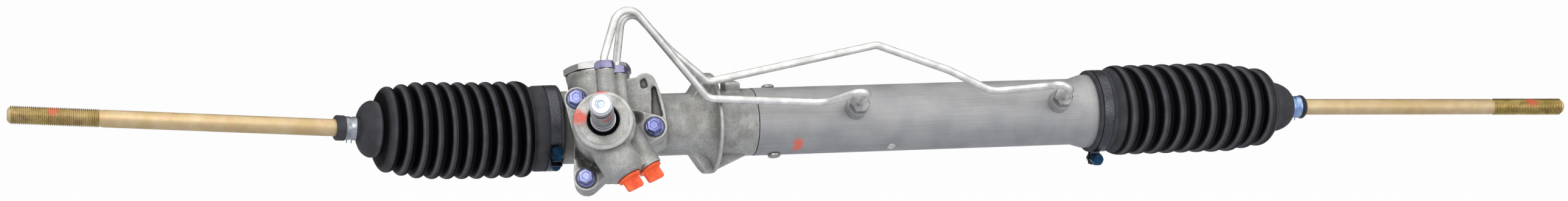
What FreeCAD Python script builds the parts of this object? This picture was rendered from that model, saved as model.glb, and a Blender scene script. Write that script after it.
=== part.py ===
import FreeCAD, Part

import math
import os

# Hydraulic power steering rack: rack housing, valve housing, cylinder, rack, tie rods and boots.
# The model is drawn with the yoke upright, then rolled about the rack axis to the way it lies in use.
# X runs along the rack to the right. The origin is the middle of the left clamp seat, on the rack axis.

os.makedirs("parts", exist_ok=True)

V = FreeCAD.Vector
along_x = V(1, 0, 0)

# Fits
run_gap = 0.05
soft_gap = 0.3
loose_gap = 1.5

# Roll of the gear case about the rack axis, and lean of the pinion towards the left
roll_deg = -20.0
lean_deg = 13.5

# Gear mesh, normal section
module = 1.85
teeth = 8
helix_deg = 25.0
pressure_deg = 20.0
shift = 0.5
backlash = 0.12
pinion_tip_r = 10.5
rack_root_depth = 2.015
face_width = 28.0

# Rack bar and its travel
rack_r = 13.0
travel_left = 80.0
travel_right = 52.0
stop_gap = 1.0
tooth_run_out = 18.0

# Stations along the rack axis
pinion_x = -107.5
housing_left = -167.0
cylinder_left = 11.0
cylinder_right = 314.0
piston_x = 190.0
port_left_x = 90.0
port_right_x = 262.0

# Rack housing casting
boot_seat_r = 29.0
boot_seat_length = 21.0
case_r = 28.5
neck_r = 24.6
bore_r = rack_r + loose_gap
flange_r = 40.0
flange_left = -31.0
flange_right = -21.5
flange_rim = 3.0
flange_dish = 19.0
flange_lobe_half = 13.0
flare_length = 10.0
clamp_seat_r = 26.0
land_r = 26.8
land_length = 10.0
spigot_length = 23.0
ear_height = 33.0
ear_length = 13.0
ear_width = 16.0
ear_start = 8.5
gusset_length = 28.0
gusset_width = 16.0
gusset_sole = 4.0
arch_start = 6.0
arch_end = 30.0
pocket_floor = 14.0
small_pocket_floor = 24.0
locating_screw_x = 27.0
locating_screw_r = 3.0
screw_head_r = 5.0
screw_head_height = 2.6
screw_grip = 4.0

# Cylinder
tube_r = 27.0
tube_wall = 3.0
flare_start = 281.0
flare_end = 291.0
port_rise_deg = 4.0
port_boss_r = 9.0
port_boss_top = 36.0
port_thread_r = 5.0
port_hole_r = 2.5

# Piston, seals and bushes
piston_width = 12.0
ring_width = 4.0
ring_depth = 2.5
seal_r = 18.5
seal_width = 7.0
guide_length = 36.0
guide_bush_wall = 2.0
retainer_width = 2.0
retainer_depth = 3.0
retainer_gap = 8.0

# Ball sockets and tie rods
ball_offset = 18.5
ball_r = 11.5
seat_wall = 1.6
socket_r = 17.5
mouth_deg = 56.0
spanner_flat = 7.0
spanner_depth = 1.2
stud_r = 8.0
stud_length = 18.0
washer_thick = 1.5
rod_r = 6.65
rod_neck_r = 5.6
rod_neck_end = 26.0
rod_length = 321.5
thread_r = 7.0
thread_length = 67.0
rod_chamfer = 1.5
left_rod_deg = 4.1
right_rod_deg = 1.65

# Boots
boot_wall = 1.5
collar_r = 33.6
collar_lip = 3.0
boot_crest_r = 37.6
boot_valley_r = 32.2
first_fold_extra = 4.0
collar_ramp = 1.8
left_crests = 10
left_pitch = 11.3
left_valley_x = -172.35
left_fade = (0.5, 2.3, 4.5)
right_crests = 10
right_pitch = 13.7
right_valley_x = 316.75
right_shrink = 0.6
right_fade = (0.4, 2.6, 4.6)
right_lip_x = 296.0
boot_neck_r = 8.2
boot_neck_gap = 2.0
left_boot_tail = 7.4
right_boot_tail = 2.8
bulb_r = 21.8
clip_width = 8.0
clip_wall = 0.9
clip_ear = 5.0
clip_ear_thick = 1.2
left_clip_distance = 67.2
right_clip_distance = 68.2
clamp_width = 8.0
clamp_wall = 0.8
clamp_screw_r = 2.5
clamp_head_flats = 9.2
clamp_lug = 11.0
clamp_gap = 4.0
clamp_head_length = 7.0
clamp_nut_height = 3.5
clamp_screw_length = 12.0
left_clamp_deg = -58.0
right_clamp_deg = 0.0

# Pinion and its bearings, stations along the pinion axis from the rack centre plane towards the shaft end
journal_r = 9.5
journal_end = 34.0
head_r = 12.5
head_end = 43.0
tail_r = 6.0
tail_end = -28.0
tail_thread_r = 5.0
tail_thread_end = -35.0
bearing_bore = 14.0
bearing_width = 11.0
bearing_ring = 2.2
bearing_balls = 7
needle_start = 18.0
needle_end = 28.0
pinion_seal_end = 34.0
nut_flats = 17.0
nut_height = 5.5
cap_r = 16.0
cap_start = -37.0
cap_end = -45.0
cap_relief_r = 10.0
cap_relief = 1.5
cap_key_flats = 14.0
cap_key_depth = 5.0
barrel_r = 21.0

# Valve housing
joint_w = 37.0
lug_thick = 11.0
valve_r = 24.0
neck_ring_r = 22.5
neck_w = 96.0
neck_ring_length = 8.0
end_wall = 12.0
valve_bore_r = 17.5
shaft_hole_r = 12.2
bolt_places = ((-19.8, 29.2), (37.9, 2.0), (-17.3, -33.4))
lug_r = 9.6
bolt_r = 4.0
bolt_flats = 11.0
bolt_head = 6.0
bolt_collar_r = 7.2
bolt_collar = 1.6
bolt_depth = 14.0

# Pipe ports of the valve housing, given across its axis and back from the end of its neck
top_ports = ((4.0, 20.0), (13.0, 39.0))
top_boss_r = 7.2
top_boss_height = 43.5
supply_tilt_deg = -62.0
supply_face = 43.0
supply_ports = ((-5.5, 22.0), (12.5, 36.0))
supply_boss_r = 10.5
supply_belly_r = 15.3
supply_belly_end = 33.0
supply_bore_r = 6.5
supply_drill_r = 4.0
plug_flange_r = 9.4
plug_flange = 2.4
plug_depth = 10.0
port_thread_depth = 12.0
supply_bore_depth = 14.0
plug_tab_length = 9.0
plug_tab_thick = 4.0

# Valve sleeve, input shaft and torsion bar
sleeve_start = 37.5
sleeve_clear = 2.0
spool_r = 11.0
ring_grooves = 4
first_groove = 9.5
last_groove = 11.0
groove_width = 2.2
oil_groove_width = 3.6
groove_depth = 1.8
feed_hole_r = 1.2
pin_r = 1.5
input_start = 44.5
input_r = 9.6
stub_r = 8.8
stub_start = 99.0
input_end = 147.0
input_groove_w = 133.0
input_groove_width = 6.0
input_groove_r = 7.9
input_chamfer = 1.2
torsion_r = 3.0
torsion_start = 14.0
torsion_end = 139.0
needle_ring = 7.0
spool_slots = 6
spool_slot_r = 1.5
spool_slot_margin = 6.0

# Stop between the input shaft and the pinion: a tongue in a wider slot
twist_deg = 5.0
tongue_half = 3.5
tongue_reach = 8.0
tongue_length = 5.5

# Yoke, a little left of the pinion
yoke_x = pinion_x - 3.0
yoke_boss_r = 24.1
yoke_boss_top = 42.0
yoke_r = 17.0
yoke_seat = 3.0
yoke_top = 29.0
yoke_liner = 1.0
spring_r = 7.0
spring_wire = 1.4
spring_turns = 4
spring_recess = 10.0
plug_rise = 2.0
plug_thick = 9.0
plug_key_flats = 15.0
plug_key_depth = 5.0
lock_nut_r = 27.2
lock_nut_thick = 5.5
lock_nut_corners = 8

# Rigid pipes
pipe_r = 3.0
pipe_wall = 0.8
pipe_nut_flats = 14.0
pipe_sink = 8.0
pipe_rise = 9.5
pipe_nut_height = 6.0
pipe_nut_grip = 4.0
port_reach = 82.0

# Values that follow from the mesh
lean = math.radians(lean_deg)
helix = math.radians(helix_deg)
rack_angle_deg = helix_deg - lean_deg
rack_angle = math.radians(rack_angle_deg)
pitch_r = module * teeth / (2 * math.cos(helix))
normal_pitch = math.pi * module
rack_pitch = normal_pitch / math.cos(rack_angle)
lead = 2 * math.pi * pitch_r / math.tan(helix)
transverse_pressure = math.atan(math.tan(math.radians(pressure_deg)) / math.cos(helix))
base_r = pitch_r * math.cos(transverse_pressure)
root_r = pitch_r - module * (1.25 - shift)
datum = pitch_r + shift * module
tip_plane = 9.5
centre_distance = tip_plane + datum - module
root_plane = centre_distance - datum - rack_root_depth

# Ends of the rack and centres of its ball joints
rack_left = housing_left - travel_right - stop_gap - washer_thick
rack_right = cylinder_right + travel_left + stop_gap + washer_thick
left_ball = rack_left - ball_offset
right_ball = rack_right + ball_offset
tube_bore_r = tube_r - tube_wall

# Stations of the valve housing's end, and of the grooves in the sleeve
shoulder_w = neck_w - neck_ring_length
valve_bore_end = neck_w - end_wall
sleeve_end = valve_bore_end - sleeve_clear
groove_step = (sleeve_end - last_groove - sleeve_start - first_groove) / (ring_grooves - 1)
sleeve_grooves = [sleeve_start + first_groove + groove_step * n for n in range(ring_grooves)]
top_port_places = [(u, neck_w - back) for u, back in top_ports]
supply_port_places = [(across, neck_w - back) for across, back in supply_ports]

# Frame of the pinion: u across, v up towards the yoke, w along the shaft
pinion_u = V(math.cos(lean), -math.sin(lean), 0)
pinion_v = V(0, 0, 1)
pinion_w = V(-math.sin(lean), -math.cos(lean), 0)
pinion_origin = V(pinion_x, 0, -centre_distance)


def to_pinion(shape):
    """Moves a shape drawn about Z onto the pinion axis."""
    frame = FreeCAD.Matrix(
        pinion_u.x, pinion_v.x, pinion_w.x, pinion_origin.x,
        pinion_u.y, pinion_v.y, pinion_w.y, pinion_origin.y,
        pinion_u.z, pinion_v.z, pinion_w.z, pinion_origin.z,
        0, 0, 0, 1,
    )
    placed = shape.copy()
    placed.Placement = FreeCAD.Placement(frame).multiply(placed.Placement)
    return placed


def rolled(shape):
    """Rolls the gear case about the rack axis to the way it lies in use."""
    placed = shape.copy()
    turn = FreeCAD.Placement(V(0, 0, 0), FreeCAD.Rotation(along_x, roll_deg))
    placed.Placement = turn.multiply(placed.Placement)
    return placed


def turned(points, axis=along_x, radial=V(0, 0, 1), base=V(0, 0, 0)):
    """A solid of revolution from (station, radius) points of a closed outline."""
    places = [base + axis * s + radial * r for s, r in points]
    face = Part.Face(Part.makePolygon(places + places[:1]))
    return face.revolve(base, axis, 360)


def turned_z(points):
    return turned(points, V(0, 0, 1), V(1, 0, 0))


def cylinder_x(r, start, end):
    return Part.makeCylinder(r, end - start, V(start, 0, 0), along_x)


def cylinder_z(r, start, end, x=0.0, y=0.0):
    return Part.makeCylinder(r, end - start, V(x, y, start), V(0, 0, 1))


def ring_x(outer, inner, start, end):
    return cylinder_x(outer, start, end).cut(cylinder_x(inner, start, end))


def ring_z(outer, inner, start, end):
    return cylinder_z(outer, start, end).cut(cylinder_z(inner, start, end))


def hexagon(flats, height, base, axis, corners=6):
    """A nut or bolt head standing on base along axis."""
    corner_r = flats / 2 / math.cos(math.pi / corners)
    ring = [
        V(corner_r * math.cos(2 * math.pi * n / corners), corner_r * math.sin(2 * math.pi * n / corners), 0)
        for n in range(corners)
    ]
    head = Part.Face(Part.makePolygon(ring + ring[:1])).extrude(V(0, 0, height))
    top_r = flats / 2 * 0.96
    dome = turned_z([(0, 0), (0, corner_r), (height * 0.8, corner_r), (height, top_r), (height, 0)])
    head = head.common(dome)
    head.Placement = FreeCAD.Placement(base, FreeCAD.Rotation(V(0, 0, 1), axis))
    return head


def web(first, first_r, second, second_r):
    """The face around two circles and the lines that touch both."""
    gap = second - first
    reach = gap.Length
    heading = math.atan2(gap.y, gap.x)
    spread = math.acos((first_r - second_r) / reach)
    high = V(math.cos(heading + spread), math.sin(heading + spread), 0)
    low = V(math.cos(heading - spread), math.sin(heading - spread), 0)
    ahead = V(math.cos(heading), math.sin(heading), 0)
    outline = [
        Part.Arc(first + high * first_r, first - ahead * first_r, first + low * first_r).toShape(),
        Part.makeLine(first + low * first_r, second + low * second_r),
        Part.Arc(second + low * second_r, second + ahead * second_r, second + high * second_r).toShape(),
        Part.makeLine(second + high * second_r, first + high * first_r),
    ]
    return Part.Face(Part.Wire(outline))


def joined(shapes):
    """One solid from touching or crossing shapes."""
    return shapes[0].multiFuse(shapes[1:]).removeSplitter()


def save(name, shape, roll=True):
    placed = rolled(shape) if roll else shape
    placed.exportStep("parts/" + name + ".step")


# Pinion and rack teeth

def involute(r):
    """Roll-off angle of the involute at radius r."""
    tangent = math.sqrt(max(r * r / (base_r * base_r) - 1, 0))
    return tangent - math.atan(tangent)


def pinion_section():
    """Transverse outline of the pinion: involute flanks, tip arcs and root arcs."""
    thickness = (math.pi / 2 + 2 * shift * math.tan(math.radians(pressure_deg))) * module / math.cos(helix)
    half_angle = (thickness - backlash) / (2 * pitch_r) + involute(pitch_r)
    flank_steps = 5
    radii = [base_r + (pinion_tip_r - base_r) * n / flank_steps for n in range(flank_steps + 1)]
    edges = []
    pitch_angle = 2 * math.pi / teeth

    def spot(r, angle):
        return V(r * math.cos(angle), r * math.sin(angle), 0)

    for tooth in range(teeth):
        middle = math.pi / 2 + tooth * pitch_angle
        rising = [spot(r, middle - half_angle + involute(r)) for r in radii]
        falling = [spot(r, middle + half_angle - involute(r)) for r in reversed(radii)]
        root_start = spot(root_r, middle - half_angle)
        root_end = spot(root_r, middle + half_angle)
        next_root = spot(root_r, middle + pitch_angle - half_angle)
        up, down = Part.BSplineCurve(), Part.BSplineCurve()
        up.interpolate(rising)
        down.interpolate(falling)
        edges.append(Part.makeLine(root_start, rising[0]))
        edges.append(up.toShape())
        edges.append(Part.Arc(rising[-1], spot(pinion_tip_r, middle), falling[0]).toShape())
        edges.append(down.toShape())
        edges.append(Part.makeLine(falling[-1], root_end))
        edges.append(Part.Arc(root_end, spot(root_r, middle + pitch_angle / 2), next_root).toShape())
    return Part.Wire(edges)


def pinion_teeth():
    """The toothed length, swept along the axis and twisted by a left-hand helix."""
    start = -face_width / 2
    outline = pinion_section()
    outline.rotate(V(0, 0, 0), V(0, 0, 1), -360 * start / lead)
    outline.translate(V(0, 0, start))
    spine = Part.Wire(Part.makeLine(V(0, 0, start), V(0, 0, start + face_width)))
    guide = Part.makeLongHelix(lead, face_width, pitch_r, 0, True)
    guide.translate(V(0, 0, start))
    sweep = Part.BRepOffsetAPI.MakePipeShell(spine)
    sweep.setAuxiliarySpine(Part.Wire(guide.Edges), True, 0)
    sweep.add(outline)
    sweep.build()
    sweep.makeSolid()
    return sweep.shape()


def pinion():
    """Pinion with its journals, the head that drives the valve sleeve and the bore of the torsion bar."""
    half = face_width / 2
    shaft = turned_z([
        (tail_thread_end, 0), (tail_thread_end, tail_thread_r), (tail_end, tail_thread_r), (tail_end, tail_r),
        (-half, tail_r), (-half, root_r), (half, root_r), (half, journal_r), (journal_end, journal_r),
        (journal_end, head_r), (head_end, head_r), (head_end, 0),
    ])
    shaft = shaft.cut(cylinder_z(torsion_r + run_gap, torsion_start - 1, head_end))
    return shaft.fuse(pinion_teeth()).cut([drive_pin_hole(), stop_slot()])


def stop_slot():
    """Slot across the pinion's head, wider than the tongue by the twist of the torsion bar."""
    twist = math.radians(twist_deg)
    half = tongue_half * math.cos(twist) + tongue_reach * math.sin(twist) + run_gap
    reach = tongue_reach + soft_gap
    floor = input_start - tongue_length - soft_gap
    return Part.makeBox(2 * half, 2 * reach, head_end - floor, V(-half, -reach, floor))


def stop_tongue():
    """Tongue on the end of the spool, which meets the slot's walls at full twist."""
    base = V(-tongue_half, -tongue_reach, input_start - tongue_length)
    return Part.makeBox(2 * tongue_half, 2 * tongue_reach, tongue_length + 1.0, base)


def drive_pin_hole():
    height = (sleeve_start + head_end) / 2
    return Part.makeCylinder(pin_r, valve_bore_r, V(torsion_r + 3, 0, height), along_x)


def tooth_gap(x):
    """One rack tooth gap, a trapezium drawn along the slanting tooth."""
    slope = math.tan(math.radians(pressure_deg))
    half_datum = (normal_pitch / 2 + backlash) / 2
    datum_z = -(centre_distance - datum)
    outer = -(rack_r + 1)
    half_root = half_datum - slope * (-root_plane - datum_z)
    half_outer = half_datum - slope * (outer - datum_z)
    length = 4 * rack_r
    across = [V(-half_outer, 0, outer), V(-half_root, 0, -root_plane), V(half_root, 0, -root_plane)]
    across.append(V(half_outer, 0, outer))
    gap = Part.Face(Part.makePolygon(across + across[:1])).extrude(V(0, length, 0))
    gap.translate(V(0, -length / 2, 0))
    gap.rotate(V(0, 0, 0), V(0, 0, 1), rack_angle_deg)
    gap.translate(V(x, 0, 0))
    return gap


def rack_bar():
    """Round bar with a flat, its slanting teeth and a tapped hole in each end."""
    flat_left = pinion_x - travel_right - tooth_run_out
    flat_right = pinion_x + travel_left + tooth_run_out
    bar = cylinder_x(rack_r, rack_left + washer_thick, rack_right - washer_thick)
    flat_corner = V(flat_left, -1.5 * rack_r, -tip_plane - rack_r)
    flat = Part.makeBox(flat_right - flat_left, 3 * rack_r, rack_r, flat_corner)
    reach = tooth_run_out - rack_pitch
    first = -math.floor((travel_right + reach) / rack_pitch)
    last = math.floor((travel_left + reach) / rack_pitch)
    gaps = [tooth_gap(pinion_x + n * rack_pitch) for n in range(first, last + 1)]
    left_hole = cylinder_x(stud_r, rack_left, rack_left + stud_length + 2)
    right_hole = cylinder_x(stud_r, rack_right - stud_length - 2, rack_right)
    groove = ring_x(rack_r + 1, rack_r - 1, piston_x - piston_width / 2, piston_x + piston_width / 2)
    return bar.cut([flat, left_hole, right_hole, groove]).cut(gaps)


# Housing

def valve_point(u, v, w):
    return pinion_origin + pinion_u * u + pinion_v * v + pinion_w * w


def port_axis():
    rise = math.radians(port_rise_deg)
    return V(0, -math.cos(rise), math.sin(rise))


def flange_web(u, v, start, end):
    """A web of the bolted joint, from the valve barrel out to one bolt lug."""
    outline = web(V(0, 0, 0), valve_r, V(u, v, 0), lug_r)
    return outline.extrude(V(0, 0, end - start)).translated(V(0, 0, start))


def side_arch():
    """The curved wall that ties the right bolt lug to the yoke boss, with its two pockets."""
    start, shoulder = V(10.0, 46.0, 0), V(27.5, 47.0, 0)
    crown, shoulder_end = V(35.0, 49.8, 0), V(41.8, 43.5, 0)
    hip, foot, heel = V(47.8, 12.0, 0), V(46.2, -6.0, 0), V(20.0, -16.0, 0)
    edges = [
        Part.makeLine(start, shoulder),
        Part.Arc(shoulder, crown, shoulder_end).toShape(),
        Part.Arc(shoulder_end, V(45.8, 29.0, 0), hip).toShape(),
        Part.Arc(hip, V(48.3, 3.0, 0), foot).toShape(),
        Part.makeLine(foot, heel),
        Part.makeLine(heel, V(0, 0, 0)),
        Part.makeLine(V(0, 0, 0), start),
    ]
    wall = Part.Face(Part.Wire(edges)).extrude(V(0, 0, arch_end - arch_start))
    wall.translate(V(0, 0, arch_start))
    side_pocket = pocket([(38.4, 38.5), (41.4, 38.5), (45.2, 13.8), (36.4, 13.8)], pocket_floor)
    top_pocket = pocket([(29.8, 44.4), (34.2, 45.6), (35.6, 38.4), (30.2, 37.6)], small_pocket_floor)
    return wall.cut([side_pocket, top_pocket])


def pocket(corners, floor):
    """A cored recess with rounded corners, open towards the valve housing."""
    ring = [V(u, v, floor) for u, v in corners]
    block = Part.Face(Part.makePolygon(ring + ring[:1])).extrude(V(0, 0, arch_end))
    upright = [e for e in block.Edges if abs(e.tangentAt(e.FirstParameter).z) > 0.9]
    return block.makeFillet(1.2, upright)


def dish(start, end, low, high, steps=6):
    """Points of a hollow flare, a quarter ellipse that leaves low level and meets high upright."""
    turns = [math.pi / 2 * n / steps for n in range(steps + 1)]
    return [(start + (end - start) * math.sin(t), low + (high - low) * (1 - math.cos(t))) for t in turns]


def flange_lobes():
    """The thick lobes above and below the mounting flange."""
    flare = flange_left - flare_length
    inner = neck_r - 2.0
    thick = turned([
        (flare, inner), (flare, neck_r), (flange_left, flange_r - 1.5), (flange_left + 1.5, flange_r),
        (flange_right - 1, flange_r), (flange_right, flange_r - 1), (flange_right, inner),
    ])
    corner = V(flare, -flange_lobe_half, -flange_r - 1)
    slab = Part.makeBox(flange_right - flare, 2 * flange_lobe_half, 2 * flange_r + 2, corner)
    slab.rotate(V(0, 0, 0), along_x, -roll_deg)
    return thick.common(slab)


def rack_housing():
    """Aluminium casting: boot seat, gear case, yoke boss, neck, mounting flange, clamp seat and spigot."""
    seat_end = housing_left + boot_seat_length
    rim_start = flange_right - flange_rim
    spigot_end = cylinder_left + spigot_length
    land_start = cylinder_left - land_length
    body = turned([
        (housing_left, 0), (housing_left, boot_seat_r - 1), (housing_left + 1, boot_seat_r),
        (seat_end, boot_seat_r), (seat_end + 1, case_r), (pinion_x + 30, case_r), (pinion_x + 38, neck_r),
        *dish(rim_start - flange_dish, rim_start, neck_r, flange_r - 0.8),
        (rim_start + 0.8, flange_r), (flange_right - 0.8, flange_r), (flange_right, flange_r - 0.8),
        (flange_right, clamp_seat_r + 2.5),
        (flange_right + 2.5, clamp_seat_r), (land_start, clamp_seat_r), (land_start + 0.6, land_r),
        (cylinder_left, land_r), (cylinder_left, tube_bore_r), (spigot_end, tube_bore_r), (spigot_end, 0),
    ])
    barrel = to_pinion(cylinder_z(barrel_r, cap_end + 2, joint_w))
    yoke_boss = turned_z([
        (-4.0, 0), (-4.0, yoke_boss_r), (yoke_boss_top - 7, yoke_boss_r),
        (yoke_boss_top - 2, yoke_boss_r + 1.2), (yoke_boss_top, yoke_boss_r + 1.2), (yoke_boss_top, 0),
    ]).translated(V(yoke_x, 0, 0))
    outline = [V(0, 0, 0), V(gusset_length, 0, 0), V(0, 0, -(flange_r - 1.5 - clamp_seat_r))]
    gusset = Part.Face(Part.makePolygon(outline + outline[:1])).extrude(V(0, gusset_width, 0))
    gusset.translate(V(flange_right, -gusset_width / 2, -clamp_seat_r + 1.0))
    sole_corner = V(flange_right, -gusset_width / 2, -clamp_seat_r)
    sole = Part.makeBox(gusset_length, gusset_width, gusset_sole, sole_corner)
    gusset = gusset.fuse(sole)
    gusset.rotate(V(0, 0, 0), along_x, -roll_deg)
    ear = Part.makeBox(ear_length, ear_width, ear_height, V(flange_right + ear_start, -ear_width / 2, 0))
    tall = [e for e in ear.Edges if e.BoundBox.ZMin > ear_height - 1 or e.BoundBox.ZLength > ear_height - 1]
    ear = ear.makeFillet(2.0, tall)
    ear.rotate(V(0, 0, 0), along_x, -roll_deg)
    lugs = [to_pinion(flange_web(u, v, joint_w - 14.0, joint_w)) for u, v in bolt_places]
    outer = joined([body, flange_lobes(), barrel, yoke_boss, gusset, ear, to_pinion(side_arch())] + lugs)
    bores = [
        cylinder_x(bore_r, housing_left, spigot_end),
        cylinder_x(seal_r, spigot_end - seal_width - 3.0, spigot_end),
        to_pinion(cylinder_z(pinion_tip_r + 1.0, -face_width / 2 - 1, needle_start)),
        to_pinion(cylinder_z(bearing_bore, needle_start, joint_w)),
        to_pinion(cylinder_z(bearing_bore, cap_start, -face_width / 2 - 1)),
        to_pinion(cylinder_z(cap_r, cap_end, cap_start)),
        cylinder_z(yoke_r, 0.0, yoke_boss_top, x=yoke_x),
    ]
    for u, v in bolt_places:
        bores.append(to_pinion(cylinder_z(bolt_r, joint_w - bolt_depth, joint_w, u, v)))
    for side in (-1, 1):
        reach = V(0, 0, side)
        base = V(locating_screw_x, 0, 0) + reach * (tube_bore_r - screw_grip)
        bores.append(Part.makeCylinder(locating_screw_r, screw_grip, base, reach))
    return outer.cut(bores)


def supply_axes():
    """Base point and direction of each supply and return port, in the pinion frame."""
    tilt = math.radians(supply_tilt_deg)
    outward = V(math.cos(tilt), math.sin(tilt), 0)
    sideways = V(-outward.y, outward.x, 0)
    return [(sideways * across + V(0, 0, w), outward) for across, w in supply_port_places]


def supply_belly(base, outward):
    """The fuller boss of the supply port, rounded in towards its face."""
    side = outward.cross(V(0, 0, 1))
    return turned([
        (0, 0), (0, supply_belly_r), (supply_belly_end, supply_belly_r),
        (supply_face - 5, supply_belly_r - 0.7), (supply_face - 1.5, supply_belly_r - 2.5),
        (supply_face, supply_boss_r), (supply_face, 0),
    ], outward, side, base)


def valve_housing():
    """Aluminium valve housing: bolted lugs, barrel, neck ring, two pipe bosses and the twin supply boss."""
    barrel = turned_z([
        (joint_w, 0), (joint_w, valve_r), (shoulder_w - 6, valve_r), (shoulder_w - 3, neck_ring_r - 1.5),
        (shoulder_w, neck_ring_r - 1.5), (shoulder_w, neck_ring_r), (neck_w - 2, neck_ring_r),
        (neck_w, neck_ring_r - 4), (neck_w, 0),
    ])
    lugs = [flange_web(u, v, joint_w, joint_w + lug_thick) for u, v in bolt_places]
    upward = V(0, 1, 0)
    bosses = [Part.makeCylinder(top_boss_r, top_boss_height, V(u, 0, w), upward) for u, w in top_port_places]
    axes = supply_axes()
    (first, outward), (second, same) = axes
    bosses.append(supply_belly(first, outward))
    bosses.append(Part.makeCylinder(supply_boss_r, supply_face, second, outward))
    bridge = Part.makeCylinder(supply_boss_r - 1.5, supply_face - 2.0, (first + second) * 0.5, outward)
    outer = joined([barrel, bridge] + lugs + bosses)
    bores = [
        cylinder_z(valve_bore_r, joint_w, valve_bore_end),
        cylinder_z(shaft_hole_r, valve_bore_end, neck_w),
    ]
    for u, w in top_port_places:
        bores.append(Part.makeCylinder(port_hole_r, top_boss_height, V(u, 0, w), upward))
        thread_base = V(u, top_boss_height - port_thread_depth, w)
        bores.append(Part.makeCylinder(port_thread_r, port_thread_depth, thread_base, upward))
    for base, outward in axes:
        wide_base = base + outward * (supply_face - supply_bore_depth)
        bores.append(Part.makeCylinder(supply_drill_r, supply_face, base, outward))
        bores.append(Part.makeCylinder(supply_bore_r, supply_bore_depth, wide_base, outward))
    for u, v in bolt_places:
        bores.append(cylinder_z(bolt_r, joint_w, joint_w + lug_thick, u, v))
        bores.append(cylinder_z(bolt_collar_r + 0.8, joint_w + lug_thick, neck_w, u, v))
    return to_pinion(outer.cut(bores))


def housing_bolts():
    """Three collar bolts that hold the valve housing."""
    bolts = []
    top = joint_w + lug_thick
    for u, v in bolt_places:
        shank = cylinder_z(bolt_r - run_gap, joint_w - bolt_depth + 2, top, u, v)
        collar = cylinder_z(bolt_collar_r, top, top + bolt_collar, u, v)
        head = hexagon(bolt_flats, bolt_head, V(u, v, top + bolt_collar), V(0, 0, 1))
        bolts.append(to_pinion(joined([shank, collar, head])))
    return Part.Compound(bolts)


# Cylinder

def cylinder_tube():
    """Steel tube with a swaged right end and drilled ports."""
    tube = turned([
        (cylinder_left, tube_bore_r), (cylinder_left, tube_r), (flare_start, tube_r),
        (flare_end, tube_r + tube_wall), (cylinder_right, tube_r + tube_wall), (cylinder_right, tube_r),
        (flare_end, tube_r), (flare_start, tube_bore_r),
    ])
    holes = []
    for x in (port_left_x, port_right_x):
        holes.append(Part.makeCylinder(port_hole_r, tube_r + 2, V(x, 0, 0), port_axis()))
    for side in (-1, 1):
        centre = V(locating_screw_x, 0, 0)
        holes.append(Part.makeCylinder(locating_screw_r, tube_r + 2, centre, V(0, 0, side)))
    return tube.cut(holes)


def cylinder_ports():
    """Two port bosses welded to the tube."""
    bosses = []
    axis = port_axis()
    for x in (port_left_x, port_right_x):
        centre = V(x, 0, 0)
        boss = Part.makeCylinder(port_boss_r, port_boss_top, centre, axis)
        boss = boss.cut(cylinder_x(tube_r, x - 2 * port_boss_r, x + 2 * port_boss_r))
        boss = boss.cut(Part.makeCylinder(port_hole_r, port_boss_top, centre, axis))
        thread_base = centre + axis * (tube_r + 2)
        bosses.append(boss.cut(Part.makeCylinder(port_thread_r, port_boss_top, thread_base, axis)))
    return Part.Compound(bosses)


def locating_screws():
    """Two screws that hold the tube on the casting's spigot."""
    root = tube_bore_r - screw_grip
    top = tube_r + screw_head_height
    screws = []
    for turn in (0, 180):
        screw = turned_z([
            (root, 0), (root, locating_screw_r - run_gap), (tube_r + 0.2, locating_screw_r - run_gap),
            (tube_r + 0.2, screw_head_r), (top - 0.8, screw_head_r), (top, screw_head_r - 1.2), (top, 0),
        ])
        screw.rotate(V(0, 0, 0), along_x, turn)
        screw.translate(V(locating_screw_x, 0, 0))
        screws.append(screw)
    return Part.Compound(screws)


def inner_seal():
    """Lip seal in the spigot, with a groove behind the lip."""
    end = cylinder_left + spigot_length
    start = end - seal_width
    lip = rack_r + run_gap
    return turned([
        (start, lip), (start, seal_r), (end, seal_r), (end, seal_r - 1.5), (start + 2, seal_r - 2.5),
        (start + 2, lip + 1.6), (end, lip + 1.0), (end, lip),
    ])


def right_guide():
    """Guide that closes the right end, holding the rod bush and the outer seal."""
    end = cylinder_right - retainer_width - 1.0
    start = end - guide_length
    return turned([
        (start, seal_r), (start, tube_bore_r), (flare_start, tube_bore_r), (flare_end, tube_r), (end, tube_r),
        (end, rack_r + guide_bush_wall), (start + seal_width, rack_r + guide_bush_wall),
        (start + seal_width, seal_r),
    ])


def outer_seal():
    start = cylinder_right - retainer_width - 1.0 - guide_length
    end = start + seal_width
    lip = rack_r + run_gap
    return turned([
        (start, lip), (start, lip + 1.0), (end - 2, lip + 1.6), (end - 2, seal_r - 2.5),
        (start, seal_r - 1.5), (start, seal_r), (end, seal_r), (end, lip),
    ])


def rod_bush():
    end = cylinder_right - retainer_width - 1.0
    return ring_x(rack_r + guide_bush_wall, rack_r + run_gap, end - guide_length + seal_width, end)


def retaining_ring():
    """Split ring that keeps the guide in."""
    end = cylinder_right - 1.0
    ring = ring_x(tube_r, tube_r - retainer_depth, end - retainer_width, end)
    corner = V(end - 2 * retainer_width, -retainer_gap / 2, -tube_r - 1)
    return ring.cut(Part.makeBox(3 * retainer_width, retainer_gap, retainer_depth + 3, corner))


# Rack assembly

def piston():
    half = piston_width / 2
    ring = ring_width / 2
    rim = tube_bore_r - 2 * run_gap
    return turned([
        (piston_x - half, rack_r - 1), (piston_x - half, rim - 1), (piston_x - half + 1, rim),
        (piston_x - ring, rim), (piston_x - ring, rim - ring_depth), (piston_x + ring, rim - ring_depth),
        (piston_x + ring, rim), (piston_x + half - 1, rim), (piston_x + half, rim - 1),
        (piston_x + half, rack_r - 1),
    ])


def piston_ring():
    ring = ring_width / 2
    rim = tube_bore_r - 2 * run_gap
    return ring_x(tube_bore_r - run_gap, rim - ring_depth, piston_x - ring, piston_x + ring)


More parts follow.
